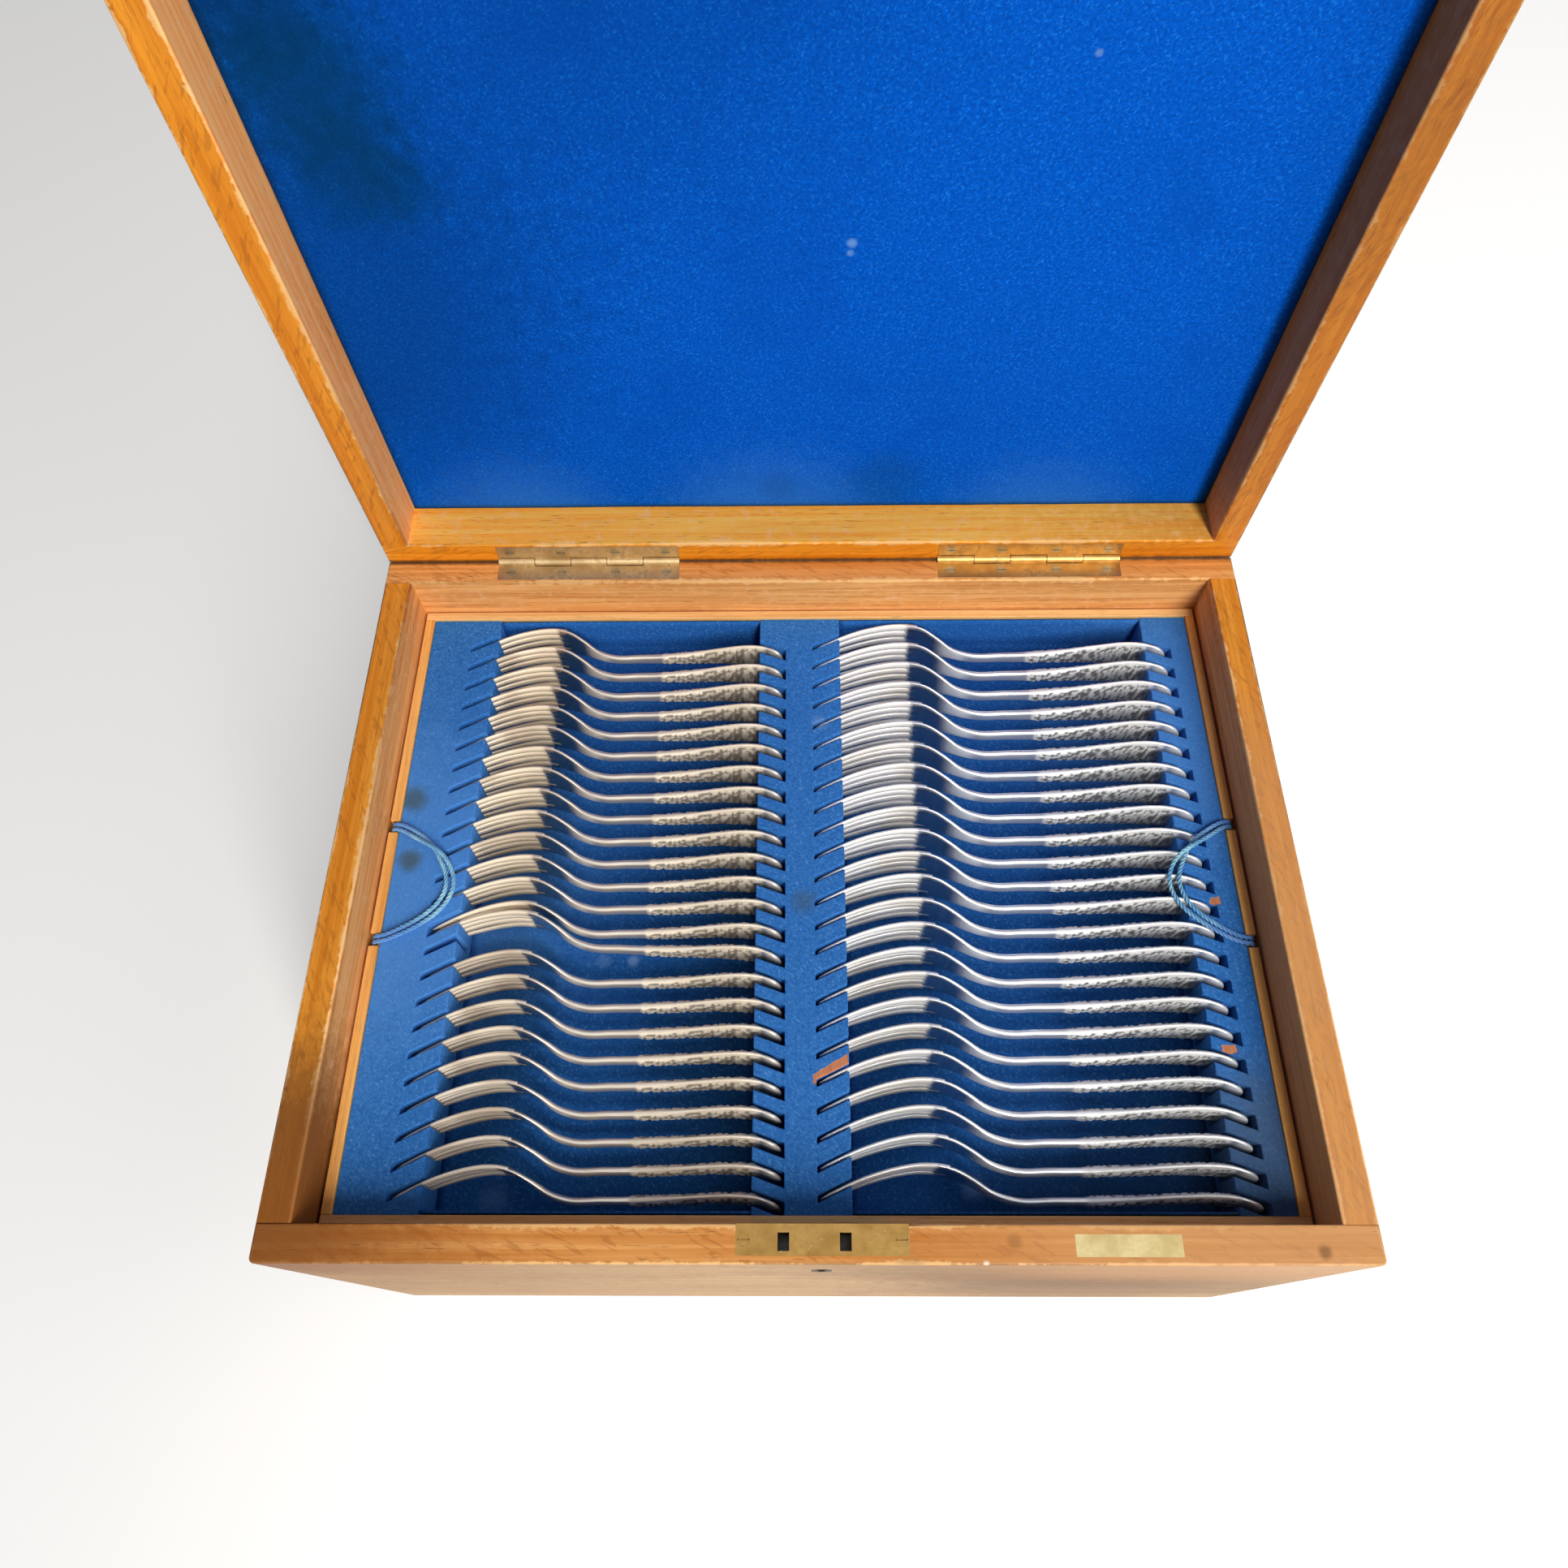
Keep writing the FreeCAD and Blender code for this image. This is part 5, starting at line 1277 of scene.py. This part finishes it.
def steel():
    finish = Finish("lock_steel")
    cloud = finish.noise(finish.place, 180.0, 4.0, 0.6)
    scratch = finish.noise(finish.stretched(finish.place, (90, 1800, 1800)), 1.0, 3.0)
    # Dark steel: old metal, painted darker still as shade where the bolt shows through the lock plate's
    # holes
    colour = finish.mixed(finish.ramp(cloud, 0.40, 0.72), srgb(74, 72, 70), srgb(46, 40, 36))
    normal = finish.bump(scratch, STEEL_BUMP, 0.5)
    rough = 0.40 + (scratch - 0.5) * 0.2
    return finish.surface({"Base Color": colour, "Metallic": 0.95, "Roughness": rough, "Normal": normal})


def hardware():
    bronzed = brass("bronzed_hinge", (srgb(180, 152, 110), srgb(214, 188, 144)), 0.50, 0.46)
    golden = brass("golden_hinge", (srgb(166, 130, 74), srgb(198, 162, 102)), 0.45, 0.42)
    plate = brass("plate_brass", (srgb(146, 112, 58), srgb(174, 140, 80)), 0.35, 0.48)
    pale = brass("name_plate_brass", (srgb(180, 160, 110), srgb(206, 190, 142)), 0.22, 0.46)
    screw = brass("screw_brass", (srgb(158, 142, 112), srgb(194, 178, 144)), 0.40, 0.46)
    # Near-black bronze: old dark metal, painted darker still as shade in the lock plate's holes and the
    # keyhole
    dark = brass("lock_bronze", (srgb(58, 46, 34), srgb(84, 66, 46)), 0.60, 0.55)
    for side, metal in (("left", bronzed), ("right", golden)):
        paint(metal, side + "_hinge_case_leaf", side + "_hinge_lid_leaf", side + "_hinge_pin")
    paint(plate, "lock_plate", "link_plate", "lock_screws", "link_plate_screws")
    paint(dark, "lock_case", "lock_cap", "keyhole_escutcheon")
    paint(pale, "name_plate", "name_plate_pins")
    paint(screw, "hinge_screws_case", "hinge_screws_lid")
    paint(steel(), "lock_bolt", "lock_spring", "key_post")


# Light and floor

def area_light(name, aside, elevation, distance, width, height, power):
    """Rectangular light that faces the case, at an angle to the right of straight in front."""
    data = bpy.data.lights.new(name, "AREA")
    data.shape = "RECTANGLE"
    data.size = width
    data.size_y = height
    data.energy = power
    data.color = LAMP_TONE
    lamp = link(bpy.data.objects.new(name, data))
    turn, up = math.radians(aside), math.radians(elevation)
    towards = Vector((math.cos(up) * math.sin(turn), -math.cos(up) * math.cos(turn), math.sin(up)))
    lamp.location = Vector(LIGHT_AIM) + towards * distance
    lamp.rotation_euler = (-towards).to_track_quat("-Z", "Y").to_euler()


def light():
    area_light("window", **WINDOW)
    area_light("side_screen", **SIDE_SCREEN)
    world = bpy.data.worlds.new("studio")
    world.use_nodes = True
    bpy.context.scene.world = world
    sky = Graph(world.node_tree)
    sky.tree.nodes.clear()
    seen = sky.node("ShaderNodeLightPath", {}, {}, "Is Camera Ray")
    paths = seen.socket.node.outputs
    mirrored = Value(sky, paths["Is Glossy Ray"]).larger(Value(sky, paths["Is Transmission Ray"]))
    fill = sky.node("ShaderNodeBackground", {}, {"Color": SKY_TONE, "Strength": SKY_STRENGTH})
    white = sky.node("ShaderNodeBackground", {}, {"Color": WHITE, "Strength": 1.0})
    both = sky.node("ShaderNodeMixShader", {}, {0: seen.larger(mirrored), 1: fill, 2: white})
    sky.node("ShaderNodeOutputWorld", {}, {"Surface": both})


def floor():
    finish = Finish("pale_floor")
    seen = finish.node("ShaderNodeLightPath", {}, {}, "Is Camera Ray")
    mirrored = Value(finish, seen.socket.node.outputs["Is Glossy Ray"])
    matt = finish.node("ShaderNodeBsdfDiffuse", {}, {"Color": FLOOR_TONE})
    seen_glow = seen.larger(mirrored) * FLOOR_GLOW
    shade = finish.ramp(finish.split(finish.place)[0], *FLOOR_SHADE_X)
    tone = seen_glow * (FLOOR_SHADE_SHARE + shade * (1 - FLOOR_SHADE_SHARE))
    grey = finish.joined(tone, tone, tone)
    glow = finish.node("ShaderNodeEmission", {}, {"Color": grey, "Strength": 1.0})
    both = finish.node("ShaderNodeAddShader", {}, {0: matt, 1: glow})
    finish.node("ShaderNodeOutputMaterial", {}, {"Surface": both})
    half = FLOOR_SIZE / 2
    corners = [(x, y, -FLOOR_DROP) for x, y in ((-half, -half), (half, -half), (half, half), (-half, half))]
    mesh = bpy.data.meshes.new("floor")
    mesh.from_pydata(corners, [], [(0, 1, 2, 3)])
    mesh.materials.append(finish.material)
    link(bpy.data.objects.new("floor", mesh))


place_camera()
cords()
boards()
rack_cloth, shaded_bay_cloth = tray_baize()
racks(rack_cloth)
bay_linings(shaded_bay_cloth)
lid_lining(lid_baize())
forks()
hardware()
light()
floor()
bpy.context.scene.view_settings.view_transform = "Standard"
